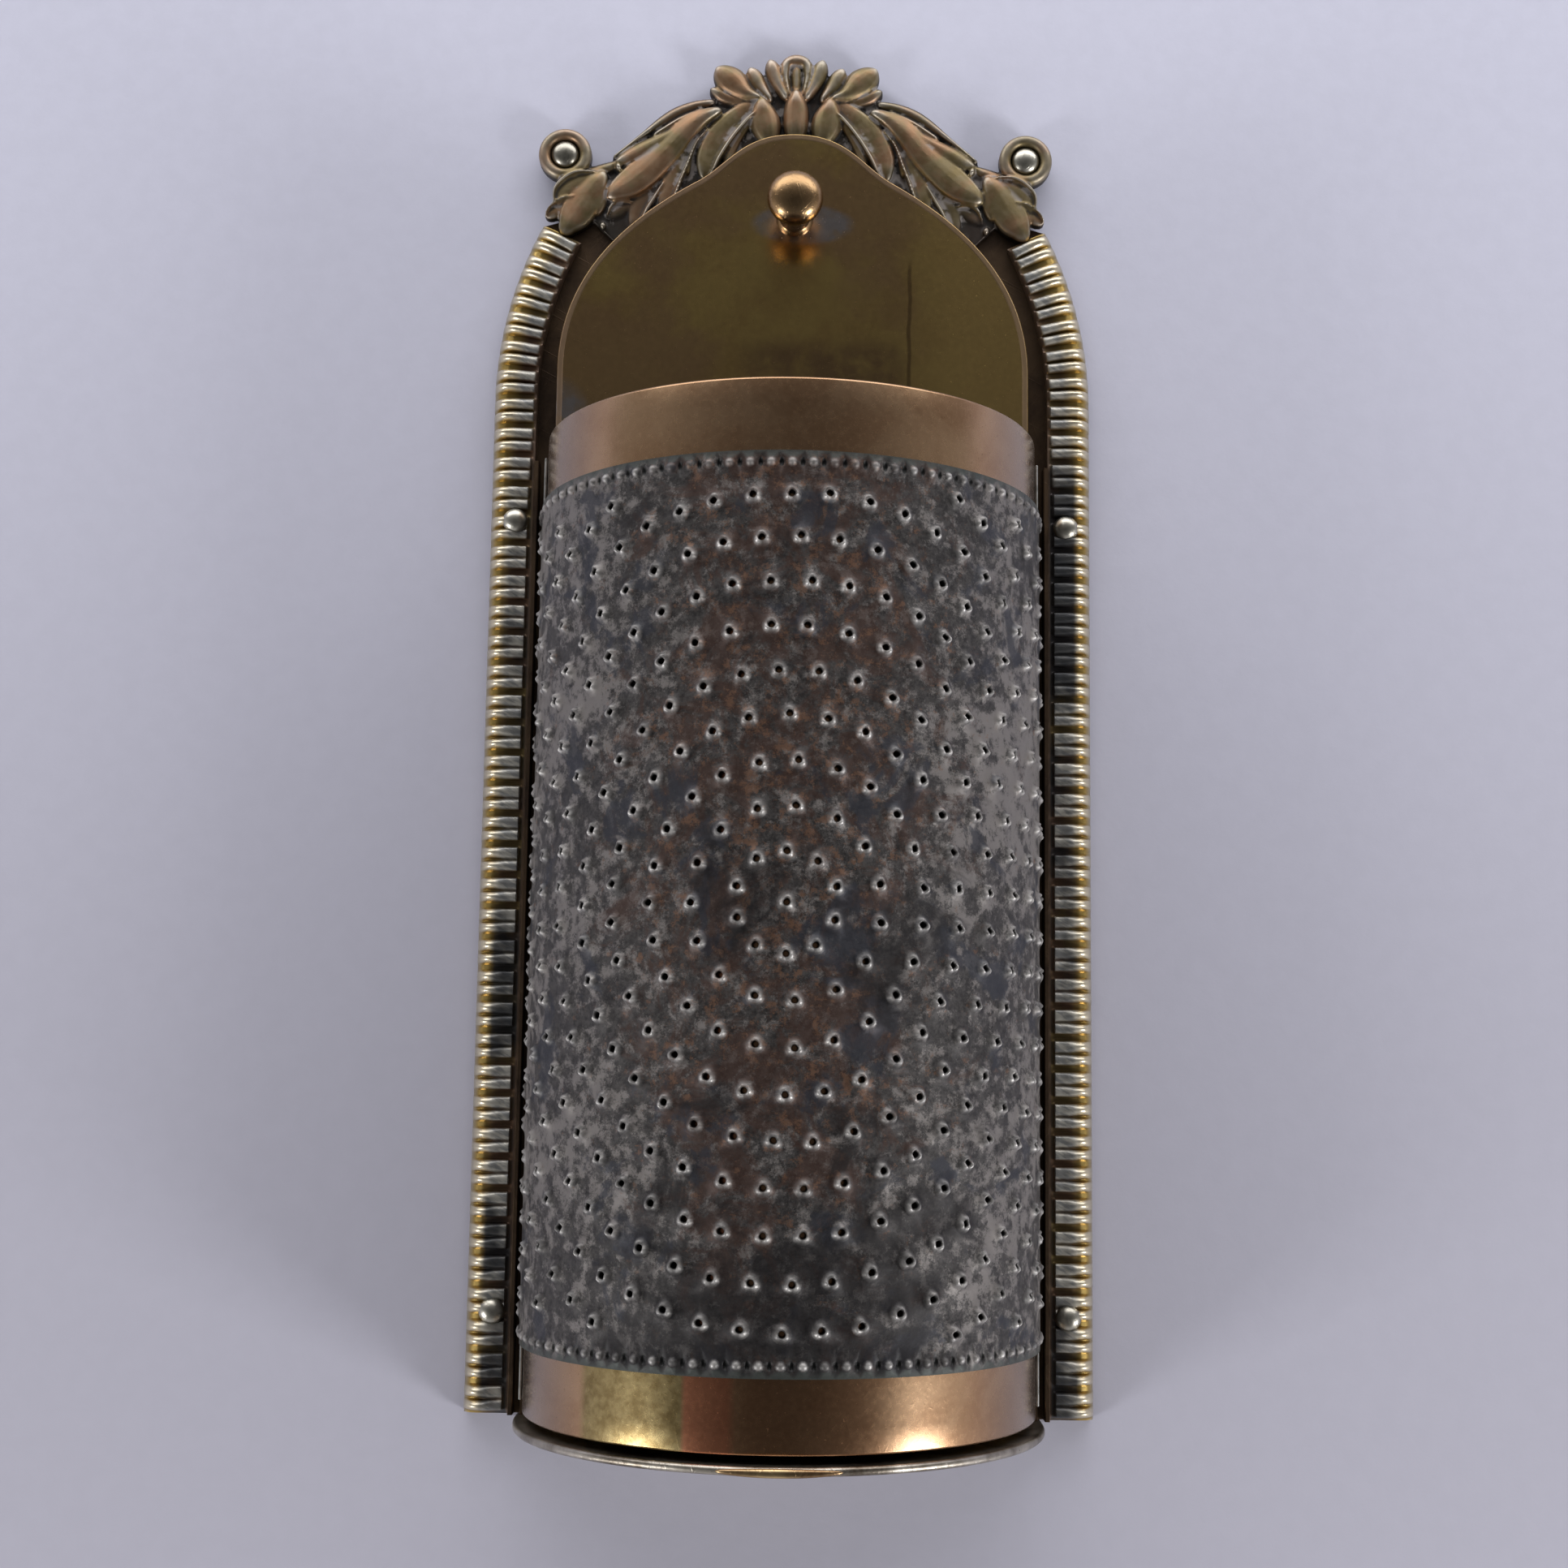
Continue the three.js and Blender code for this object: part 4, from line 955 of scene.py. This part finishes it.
CALYX = [
    ([(19.1, 5.7, 0.9), (20.3, 3.7, 1.5), (21.4, 1.9, 1.5), (22.2, 0.6, 1.0)], 0.85, "leaf"),
    ([(19.7, 5.9, 0.4), (21.4, 5.2, 0.9), (22.6, 4.2, 0.95), (23.2, 3.1, 0.5)], 0.97, "rim_left"),
    ([(21.3, 3.3, 0.4), (22.6, 2.8, 0.75), (23.9, 1.9, 0.6)], 0.78, "rim_left"),
    ([(18.4, 4.6, 0.3), (18.9, 3.2, 0.6), (19.2, 2.2, 0.5)], 0.62, "ridge"),
    ([(18.7, 0.7, 0.32), (18.75, 0.95, 0.32)], 0.66, "dome"),
    ([(17.25, 6.6, 0.32), (17.35, 6.85, 0.32)], 0.86, "dome"),
]
PETALS = [
    ([(5.2, 13.7, 0.5), (6.6, 14.1, 0.8), (7.9, 14.8, 0.75)], 0.62, "ridge"),
    ([(2.6, 14.0, 0.35), (3.6, 15.4, 0.75), (4.3, 16.7, 0.8)], 0.75, "dome"),
    ([(1.0, 14.1, 0.35), (1.95, 16.0, 0.7), (2.45, 17.5, 0.75)], 0.90, "dome"),
    ([(3.6, 14.0, 0.35), (5.0, 14.6, 0.85), (6.2, 15.7, 1.35), (7.0, 16.4, 1.4)], 0.94, "dome"),
]
# The low ground between the leaves and petals
GROUND = [
    ([(3.0, 13.0, 1.6), (6.5, 12.2, 1.6), (10.0, 10.6, 1.7), (13.0, 8.9, 1.7), (16.0, 6.2, 1.8), (18.8, 4.0, 1.6),
      (21.2, 3.2, 1.4)], 0.30, "dome"),
    ([(1.0, 14.6, 1.4), (3.6, 15.2, 1.4), (6.0, 15.2, 1.1)], 0.34, "dome"),
]
MIDDLE = [
    ([(0, 14.0, 0.35), (0, 15.6, 0.6), (0, 17.2, 0.7)], 0.72, "ridge"),
    ([(-0.75, 14.4, 0.3), (-1.15, 16.3, 0.45), (-0.95, 17.6, 0.6), (0, 18.0, 0.7), (0.95, 17.6, 0.6),
      (1.15, 16.3, 0.45), (0.75, 14.4, 0.3)], 0.84, "dome"),
    ([(0, 14.3, 0.8), (0, 12.8, 1.15), (0, 10.4, 1.1)], 1.0, "dome"),
]
SURFACES = {
    "ridge": [(-1, 0), (-0.85, 0.5), (-0.5, 0.86), (0, 1), (0.5, 0.86), (0.85, 0.5), (1, 0)],
    "dome": [(-1, 0.2), (-0.92, 0.55), (-0.7, 0.80), (-0.35, 0.96), (0, 1), (0.35, 0.96), (0.7, 0.80), (0.92, 0.55),
             (1, 0.2)],
    "leaf": [(-1, 0.3), (-0.95, 0.66), (-0.85, 0.80), (-0.7, 0.84), (-0.35, 0.94), (0, 1.0), (0.35, 0.98),
             (0.7, 0.90), (0.86, 0.78), (0.96, 0.6), (1, 0.3)],
    "rim_right": [(-1, 0.3), (-0.93, 0.55), (-0.7, 0.68), (-0.3, 0.72), (0.1, 0.70), (0.45, 0.66), (0.6, 0.72),
                  (0.72, 0.95), (0.84, 1.0), (0.95, 0.8), (1, 0.3)],
}
SURFACES["rim_left"] = [(-across, rise) for across, rise in reversed(SURFACES["rim_right"])]
VOLUTE_AT = (22.57, 7.98)
VOLUTE_RADIUS = 2.6
VOLUTE_RIM = 1.16
VOLUTE_BACK = 0.3
PIN_RADIUS = VOLUTE_RADIUS - VOLUTE_RIM - 0.05
DISH_TOP = GUIDE_TOP - 1.4
ARCH_RADIUS = BORDER_INNER - 0.6
ARCH_CENTRE = SHOULDER_START + 6.5
ARCH_START = math.radians(31)
CREST_START = SHOULDER_START + SHOULDER_RADIUS * math.sin(SHOULDER_ANGLE)
CREST_VOXEL = 0.13
CREST_SINK = 0.1
GROUND_WIDTH = 6.7
GROUND_RISE = 0.45
BOSS_AT, BOSS_RADIUS = 14.6, 3.4
LOBE_FULLNESS = 1.12
LOBE_FOOT = 0.2
LOBE_SAMPLES, LOBE_SECTIONS = 60, 36
# A lobe's round ends: how far they reach, as a share of the half width there, the least width that they
# keep, their height as a share of the lobe's, and what the height gains along the lobe
ROUND_REACH, ROUND_LEAST = 0.8, 0.12
ROUND_HEIGHT, ROUND_GAIN = 0.55, 0.45
# How many edges away a point's surroundings reach, for its cavity
CAVITY_REACH = 6


def crest_lobe(points, relief, kind):
    """One leaf or petal, with round ends, as a closed body that reaches into the frame's top."""
    places = spline([(x, CREST_START + y, half * LOBE_FULLNESS) for x, y, half in points], LOBE_SAMPLES)
    steps = np.linalg.norm(np.diff(places[:, :2], axis=0), axis=1)
    along = np.concatenate([[0], np.cumsum(steps)])
    length, first, last = along[-1], places[0, 2], places[-1, 2]
    low, high = -ROUND_REACH * first, length + ROUND_REACH * last
    spread = low + (high - low) * (1 - np.cos(np.linspace(0, math.pi, LOBE_SECTIONS))) / 2
    spread = 0.5 * spread + 0.5 * np.linspace(low, high, LOBE_SECTIONS)
    tangents = np.gradient(places[:, :2], axis=0)
    tangents /= np.linalg.norm(tangents, axis=1, keepdims=True)
    sections = []
    for s in spread:
        x, y, half = [np.interp(s, along, places[:, k]) for k in range(3)]
        tangent = np.array([np.interp(s, along, tangents[:, k]) for k in range(2)])
        tangent /= np.linalg.norm(tangent)
        beyond = min(s, 0) + max(s - length, 0)
        x, y = x + tangent[0] * beyond, y + tangent[1] * beyond
        cap = min(1, (s - low) / (2 * ROUND_REACH * first), (high - s) / (2 * ROUND_REACH * last))
        round_end = max(ROUND_LEAST, math.sqrt(max(0, 1 - (1 - cap) ** 2)))
        height = relief * CREST_RELIEF * (ROUND_HEIGHT + ROUND_GAIN * round_end)
        section = []
        for across, rise in SURFACES[kind]:
            offset = across * half * round_end
            section.append((x + tangent[1] * offset, y - tangent[0] * offset, FRAME_TOP + rise * height))
        for end in (-1, 0):
            section.append((*section[end][:2], FRAME_TOP - LOBE_FOOT))
        sections.append(section)
    return loft(sections)


def crest_ground():
    """The thin curved ground that the leaves lie on."""
    outer = ARCH_RADIUS - 0.3
    outline = arc((0, ARCH_CENTRE), outer, ARCH_START, math.pi - ARCH_START, 60)
    outline += arc((0, ARCH_CENTRE - 2.0), outer - GROUND_WIDTH, math.pi - ARCH_START, ARCH_START, 60)
    return slab([outline], FRAME_TOP - CREST_SINK, FRAME_TOP + GROUND_RISE, 0.12)


def crest_volute():
    """The right scroll's end: a dish with a round rim."""
    half = VOLUTE_RIM / 2
    rim, rim_top = VOLUTE_RADIUS - half, GUIDE_TOP - 0.2
    profile = [(0, VOLUTE_BACK)] + arc((rim, VOLUTE_BACK + half), half, -math.pi / 2, 0, 5)
    profile += arc((rim, rim_top - half), half, 0, math.pi, 13)
    profile += [(VOLUTE_RADIUS - VOLUTE_RIM, DISH_TOP), (0, DISH_TOP)]
    return lathe(profile, 48, (VOLUTE_AT[0], CREST_START + VOLUTE_AT[1]))


def crest_boss():
    """The low round ground under the palmette."""
    low, high = FRAME_TOP - CREST_SINK, FRAME_TOP + GROUND_RISE
    profile = [(0, low), (BOSS_RADIUS, low), (BOSS_RADIUS, high), (0, high)]
    return lathe(profile, 40, (0, CREST_START + BOSS_AT))


def crest_object():
    """The crest's lobes fused into one cast body, with cavity and height kept for the material."""
    half = [crest_lobe(*lobe) for lobe in LEAVES + CALYX + PETALS + GROUND] + [crest_volute()]
    middle_parts = [crest_ground()] + [crest_lobe(*lobe) for lobe in MIDDLE] + [crest_boss()]
    rough = mesh_object("crest_rough", *merge(middle_parts + half + [mirror(part) for part in half]))
    remesh = rough.modifiers.new("fuse", "REMESH")
    remesh.mode = "VOXEL"
    remesh.voxel_size = CREST_VOXEL * MM
    smooth = rough.modifiers.new("smooth", "SMOOTH")
    smooth.factor = 0.5
    smooth.iterations = 2
    mesh = evaluated_mesh(rough)
    places, normals = read(mesh.vertices, "co", 3), read(mesh.vertices, "normal", 3)
    edges = read(mesh.edges, "vertices", 2, int)
    degree = np.bincount(edges.ravel(), minlength=len(places))[:, None]

    def around(values):
        """The mean of each point's neighbours."""
        total = np.zeros_like(values)
        np.add.at(total, edges[:, 0], values[edges[:, 1]])
        np.add.at(total, edges[:, 1], values[edges[:, 0]])
        return total / np.maximum(degree, 1)

    blurred = places
    for _ in range(CAVITY_REACH):
        blurred = around(blurred)
    cavity = ((places - blurred) * normals).sum(1, keepdims=True) / (CREST_VOXEL * MM)
    for _ in range(2):
        cavity = (cavity + around(cavity)) / 2
    height = (places[:, 2] / MM - FRAME_TOP) / CREST_RELIEF
    keep_values(mesh, {"cavity": cavity[:, 0], "height": height})
    shade_smooth(mesh)
    mesh.name = "crest_ornament_fine"
    return link("crest_ornament_fine", mesh)


# Frame, guides and base

LIP_HALF, LIP_STEPS, LIP_SIDES = 5.1, 48, 14
# The lip's reach in millimetres and its depth as a share: at its tips, and what its middle adds
LIP_REACH, LIP_DEPTH = (0.04, 0.51), (0.1, 0.9)
RIVET_RADIUS, RIVET_HEIGHT, RIVET_SINK, RIVET_SHANK = 1.2, 0.9, 0.55, 0.65
# The rivet's tail: radius and depth under the ear
RIVET_TAIL = [(0, 0.35), (1.15, 0.35), (1.25, 0.25), (1.25, 0)]
KNOB_FLATNESS, KNOB_NECK, KNOB_SHANK = 0.64, 1.45, 0.85
# The knob's collar up to its neck: radius and height over the plate
KNOB_COLLAR = [(1.75, 0), (1.8, 0.1), (1.7, 0.3), (1.5, 0.5), (KNOB_NECK, 0.9)]
WINDOW_FOOT, WINDOW_DROP, SLOT_GAP = 3.5, 3.0, 0.3


def guide_part():
    """The U-shaped strip of the right rail: inner bar, channel floor and thin outer lip."""
    lip_inner = BORDER_INNER - 0.45
    channel = FRAME_TOP + 0.4
    bevel = 0.08
    outline = [
        (GUIDE_INNER, FRAME_TOP), (BORDER_INNER, FRAME_TOP),
        (BORDER_INNER, LIP_TOP - bevel), (BORDER_INNER - bevel, LIP_TOP),
        (lip_inner + bevel, LIP_TOP), (lip_inner, LIP_TOP - bevel),
        (lip_inner, channel), (RASP_OUTER, channel),
        (RASP_OUTER, GUIDE_TOP - bevel), (RASP_OUTER - bevel, GUIDE_TOP),
        (GUIDE_INNER + bevel, GUIDE_TOP), (GUIDE_INNER, GUIDE_TOP - bevel),
    ]
    steps = 90
    return loft([[(x, GUIDE_END * i / steps, z) for x, z in reversed(outline)] for i in range(steps + 1)])


def half_disc(radius, skirt, start, end, bevel):
    """An upright half disc over a skirt, from one place along Y to another, with rounded edges."""
    outline = [(-radius, -skirt), (radius, -skirt)] + arc((0, 0), radius, 0, math.pi, 120)
    points, faces = slab([outline], 0, end - start, bevel)
    return np.stack([points[:, 0], end - points[:, 2], points[:, 1] + AXIS_Z], 1), faces


def shell_part():
    """The drawer's half-round wall, with a rounded bead at each end."""
    half = SHELL_WALL / 2
    rim = BAND_RADIUS - half
    profile = arc((rim, SHELL_START + half), half, -math.pi, 0, 8)
    profile += [(BAND_RADIUS, SHELL_START + (SHELL_END - SHELL_START) * i / 40) for i in range(1, 40)]
    profile += arc((rim, SHELL_END - half), half, 0, math.pi, 8)
    return loft([[(radius * math.cos(angle), y, AXIS_Z + radius * math.sin(angle)) for radius, y in profile]
                 for angle in np.linspace(0, math.pi, 161)])


PLATE_OVERHANG = 0.35
PLATE_SHOULDER = SHELL_END + 7.6
# The ogee's inflection, the handle of its lower curve there, and that of its tip
OGEE_TURN = (9.5, PLATE_SHOULDER + 19.1)
OGEE_HANDLE = (8.1, -4.6)
OGEE_TIP = 5.2
KNOB_HOLE = 1.15
# The plate's rim: how far in from the edge, and the height over the plate
RIM_PROFILE = ((0.03, -0.1), (0.03, -0.02), (0.12, 0.05), (0.45, 0.04), (0.6, -0.02), (0.6, -0.1))


def bezier(a, b, c, d, count):
    """Points on a cubic curve from a to d, with the handles b and c."""
    a, b, c, d = map(np.array, (a, b, c, d))
    return [tuple((1 - t) ** 3 * a + 3 * (1 - t) ** 2 * t * b + 3 * (1 - t) * t ** 2 * c + t ** 3 * d)
            for t in np.linspace(0, 1, count)]


def plate_outline():
    """The back plate's edge: straight sides, haunches and the ogee's tip."""
    half = PLATE_HALF + PLATE_OVERHANG
    (x, y), (dx, dy) = OGEE_TURN, OGEE_HANDLE
    lower = bezier((half, PLATE_SHOULDER), (half, PLATE_SHOULDER + 8.5), (x + dx, y + dy), OGEE_TURN, 40)
    upper = bezier(OGEE_TURN, (x - 0.37 * dx, y - 0.37 * dy), (OGEE_TIP, PLATE_END), (0, PLATE_END), 30)
    return [(-half, PLATE_START), (half, PLATE_START)] + mirrored_outline(lower + upper[1:])


def plate_part():
    """The back plate with its knob's hole and a low rim, which the material finds by its mark."""
    flat = slab([plate_outline(), circle(middle("knob"), KNOB_HOLE, 24)], PLATE_BOTTOM, PLATE_TOP, 0.06)
    outline = np.array(plate_outline())
    tangents = np.roll(outline, -1, axis=0) - np.roll(outline, 1, axis=0)
    tangents /= np.linalg.norm(tangents, axis=1, keepdims=True)
    inward = np.stack([-tangents[:, 1], tangents[:, 0]], 1)
    rows = [np.column_stack([outline + inward * reach, np.full(len(outline), PLATE_TOP + height)])
            for reach, height in RIM_PROFILE]
    points = np.vstack(rows)
    faces = [tuple(i % len(points) for i in face) for face in grid_faces(len(rows) + 1, len(outline))]
    return merge([flat, (points, faces)]), {"rim": [0.0] * len(flat[0]) + [1.0] * len(points)}


def floor_part():
    """The drawer's half-round floor, cut level on the back plate."""
    (_, start, _), (radius, end, _) = span("drawer_floor")
    points, faces = half_disc(math.hypot(radius, PLATE_TOP - AXIS_Z), 0, start, end, 0.08)
    points[:, 2] = np.maximum(points[:, 2], PLATE_TOP)
    return points, faces


def base_lip_part():
    """The thin golden crescent on the rim of the base plate."""
    inner = BASE_RADIUS + SEAT_GAP
    spread = math.asin(LIP_HALF / inner)
    sections = []
    for share in np.arange(LIP_STEPS + 1) / LIP_STEPS:
        angle = math.pi / 2 + spread * (2 * share - 1)
        taper = math.sin(math.pi * share) ** 0.5
        reach = LIP_REACH[0] + LIP_REACH[1] * taper
        depth = BASE_BOTTOM / 2 * (LIP_DEPTH[0] + LIP_DEPTH[1] * taper)
        section = []
        for a in np.linspace(0, FULL_TURN, LIP_SIDES, endpoint=False):
            radius = inner + reach / 2 + reach / 2 * math.cos(a)
            section.append((radius * math.cos(angle), BASE_BOTTOM / 2 - depth * math.sin(a),
                            AXIS_Z + radius * math.sin(angle)))
        sections.append(section)
    return loft(sections)


def dome(radius, foot_z, height, start, steps):
    """The profile of a low dome from an angle above its foot nearly to its top."""
    return [(radius * math.cos(a), foot_z + height * math.sin(a))
            for a in np.radians(np.linspace(start, 84, steps + 1))]


def rivet_part(x, y):
    """A rivet: a domed head on the border, a shank, and a flat tail under the rasp's ear."""
    ear_bottom = FRAME_TOP - SEAT_GAP - SHEET_THICKNESS
    seat = BORDER_TOP - RIVET_SINK
    profile = [(radius, ear_bottom - depth) for radius, depth in RIVET_TAIL]
    profile += [(RIVET_SHANK, ear_bottom), (RIVET_SHANK, seat)]
    profile += [(RIVET_RADIUS - 0.05, seat), (RIVET_RADIUS, seat + 0.06)]
    profile += dome(RIVET_RADIUS, seat, RIVET_HEIGHT, 8, 8) + [(0, seat + RIVET_HEIGHT)]
    return lathe(profile, 40, (x, y))


def pin_part(x, y):
    """A scroll's pin, a dome that stands in the scroll's dish."""
    height = GUIDE_TOP - DISH_TOP
    profile = [(0, DISH_TOP), (PIN_RADIUS, DISH_TOP)]
    profile += dome(PIN_RADIUS, DISH_TOP + 0.35 * height, 0.65 * height, 0, 9) + [(0, GUIDE_TOP)]
    return lathe(profile, 40, (x, y))


def knob_part():
    """The knob: a flattened ball on a short neck with a small collar."""
    (_, low_y, knob_bottom), (_, high_y, knob_top) = span("knob")
    radius = (high_y - low_y) / 2
    half_height = KNOB_FLATNESS * radius
    ball_z = knob_top - half_height
    profile = [(0, knob_bottom), (KNOB_SHANK, knob_bottom), (KNOB_SHANK, PLATE_TOP)]
    profile += [(around, PLATE_TOP + height) for around, height in KNOB_COLLAR]
    for a in np.linspace(math.asin(KNOB_NECK / radius), math.pi - 0.12, 30):
        profile.append((radius * math.sin(a), ball_z - half_height * math.cos(a)))
    return lathe(profile + [(0, knob_top)], 64, (0, middle("knob")[1]))


def frame_plate_part(rivets):
    """The flat frame with its window and the ears' slots."""
    right = [(RAIL_OUTER, 0)]
    right += arc((SHOULDER_CENTRE, SHOULDER_START), SHOULDER_RADIUS + BORDER_WIDTH / 2, 0, SHOULDER_ANGLE, 24)
    right += arc((0, ARCH_CENTRE), ARCH_RADIUS, ARCH_START, math.pi / 2, 30)
    window = arc((0, SHOULDER_START - WINDOW_DROP), GUIDE_INNER, 0, math.pi, 48)
    window = [(GUIDE_INNER, WINDOW_FOOT)] + window + [(-GUIDE_INNER, WINDOW_FOOT)]
    outlines = [mirrored_outline(right), window]
    for x, y in rivets:
        near, far = RASP_INNER - SLOT_GAP, x + EAR_MARGIN + SLOT_GAP
        low, high = y - EAR_WIDTH / 2 - SLOT_GAP, y + EAR_WIDTH / 2 + SLOT_GAP
        for side in (-1, 1):
            outlines.append([(side * near, low), (side * far, low), (side * far, high), (side * near, high)])
    return slab(outlines, 0, FRAME_TOP, 0.06)


# Everything on its body

# Brasses without marks of their own: name, light and dark tone, roughness, seed
PLAIN_BRASSES = [
    # The frame's brass is very dark: partly dirt, partly painted shade, as it shows mostly in the gaps under the plate
    # and beside the rasp
    ("frame_brass", (0.105, 0.070, 0.045), (0.050, 0.035, 0.027), 0.42, 71),
    ("grey_brass", (0.52, 0.50, 0.44), (0.30, 0.28, 0.235), 0.26, 81),
    ("base_brass", (0.50, 0.46, 0.40), (0.13, 0.105, 0.08), 0.28, 86),
    ("lip_brass", (0.56, 0.41, 0.22), (0.22, 0.13, 0.07), 0.24, 91),
    ("knob_brass", (0.37, 0.24, 0.125), (0.29, 0.175, 0.085), 0.19, 95),
]


def dress():
    """Makes every piece in the look of its slot, to ride its body in place of its CAD node."""
    looks = {"rasp_steel": rasp_material(), "band_brass": band_material(), "plate_brass": plate_material(),
             "border_brass": border_material(), "crest_brass": crest_material()}
    looks |= {name: brass(name, *rest).finish() for name, *rest in PLAIN_BRASSES}

    def hand_over(obj, node, slot, body="frame", look=None):
        obj.data.materials.append(looks[look or slot])
        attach(obj, body)
        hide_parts(node)

    def add_piece(node, part, slot, body="frame", values=None, sharp=35.0, look=None):
        hand_over(mesh_object(node + "_fine", *part, values, sharp), node, slot, body, look)

    rivets = [middle(f"rivet_{end}_right") for end in ("bottom", "top")]
    rasp, values = rasp_part(rivets)
    add_piece("rasp_sheet", rasp, "rasp_steel", values=values, sharp=60)
    for name, side, seed in (("left", -1, 5), ("right", 1, 9)):
        border, values = border_mesh(seed)
        guide = guide_part()
        if side < 0:
            border, guide = mirror(border), mirror(guide)
        add_piece(f"gadroon_border_{name}", border, "border_brass", values=values, sharp=50)
        add_piece(f"guide_strip_{name}", guide, "frame_brass", sharp=30)
        for end, (x, y) in zip(("bottom", "top"), rivets):
            add_piece(f"rivet_{end}_{name}", rivet_part(side * x, y), "grey_brass")
        add_piece(f"scroll_pin_{name}", pin_part(side * VOLUTE_AT[0], CREST_START + VOLUTE_AT[1]), "grey_brass")
    hand_over(crest_object(), "crest_ornament", "crest_brass")
    add_piece("frame_plate", frame_plate_part(rivets), "frame_brass", sharp=12)
    base = half_disc(BASE_RADIUS, AXIS_Z, BASE_BOTTOM, 0, 0.3)
    add_piece("base_plate", base, "grey_brass", sharp=40, look="base_brass")
    add_piece("base_lip", base_lip_part(), "lip_brass")

    add_piece("drawer_shell", shell_part(), "band_brass", "drawer", sharp=40)
    plate, values = plate_part()
    add_piece("drawer_back_plate", plate, "plate_brass", "drawer", values, sharp=12)
    add_piece("drawer_floor", floor_part(), "plate_brass", "drawer", sharp=30)
    add_piece("knob", knob_part(), "knob_brass", "drawer")


# Stage

FOCAL_PX = 2667.943
PHOTO_PX = 1932
SENSOR_MM = 36
CAMERA_AT = (-0.843, 32.249, 204.736)
CAMERA_TURN = (-0.12667, 0.00273, -0.01398)
FLOOR_HALF = 700
FLOOR_Z = -0.05
LAMP_AIM = (0, 60, 5)
# Lamps: name, place, size across and upwards, power
LAMPS = [("lamp_left", (-370, -185, 180), (130, 130), 0.8), ("lamp_right", (370, -185, 180), (130, 130), 1.15),
         ("lamp_crest", (0, 540, 200), (1300, 280), 2.7)]
# The room's brightness from the horizon up to straight above
SKY = [(0.0, 0.32), (0.30, 0.26), (0.60, 0.16), (0.86, 0.105), (0.96, 0.06), (1.0, 0.055)]
FOOT_WALL = (0.69, 0.68, 0.70)
CREST_WALL = (1.05, 1.03, 1.05)


def room_light():
    """A dim ceiling over brighter walls: one behind the crest and one round the foot's side."""
    world = bpy.data.worlds.new("studio")
    bpy.context.scene.world = world
    world.use_nodes = True
    shader = Shader("room", world.node_tree)
    direction = shader.node("ShaderNodeTexCoord").outputs["Generated"]
    along, up = shader.axis(1, direction), shader.axis(2, direction)
    tilt = shader.math("MAXIMUM", along, 0.0) * 0.3
    shader.color = shader.ramp(up - tilt, [(place, (value,) * 3) for place, value in SKY])
    shader.paint(FOOT_WALL, along.between(0.25, -0.15) * up.between(0.72, 0.05))
    shader.paint(CREST_WALL, along.between(0.40, 0.75) * up.between(0.80, 0.60))
    shader.put(world.node_tree.nodes["Background"].inputs["Color"], shader.color)


def stage():
    """The camera as fitted to the photograph, the floor, the lamps and the room."""
    scene = bpy.context.scene
    camera = link("camera", bpy.data.cameras.new("camera"))
    camera.data.sensor_width = SENSOR_MM
    camera.data.lens = FOCAL_PX / PHOTO_PX * SENSOR_MM
    camera.data.clip_start = 0.01
    turn = Euler(CAMERA_TURN, "XYZ").to_matrix().transposed().to_4x4()
    camera.matrix_world = Matrix.Translation(Vector(to_frame([CAMERA_AT])[0])) @ turn
    scene.camera = camera

    corners = [(x * FLOOR_HALF, y * FLOOR_HALF, FLOOR_Z) for x, y in ((-1, -1), (1, -1), (1, 1), (-1, 1))]
    floor = mesh_object("floor", corners, [(0, 1, 2, 3)])
    floor.data.materials.append(floor_material())

    for name, at, size, power in LAMPS:
        lamp = link(name, bpy.data.lights.new(name, "AREA"))
        lamp.data.shape = "RECTANGLE"
        lamp.data.size, lamp.data.size_y = size[0] * MM, size[1] * MM
        lamp.data.energy = power
        lamp.location = to_frame([at])[0]
        aim = Vector(to_frame([LAMP_AIM])[0]) - lamp.location
        lamp.rotation_euler = aim.to_track_quat("-Z", "Y").to_euler()

    room_light()
    scene.view_settings.view_transform = "Standard"


dress()
stage()
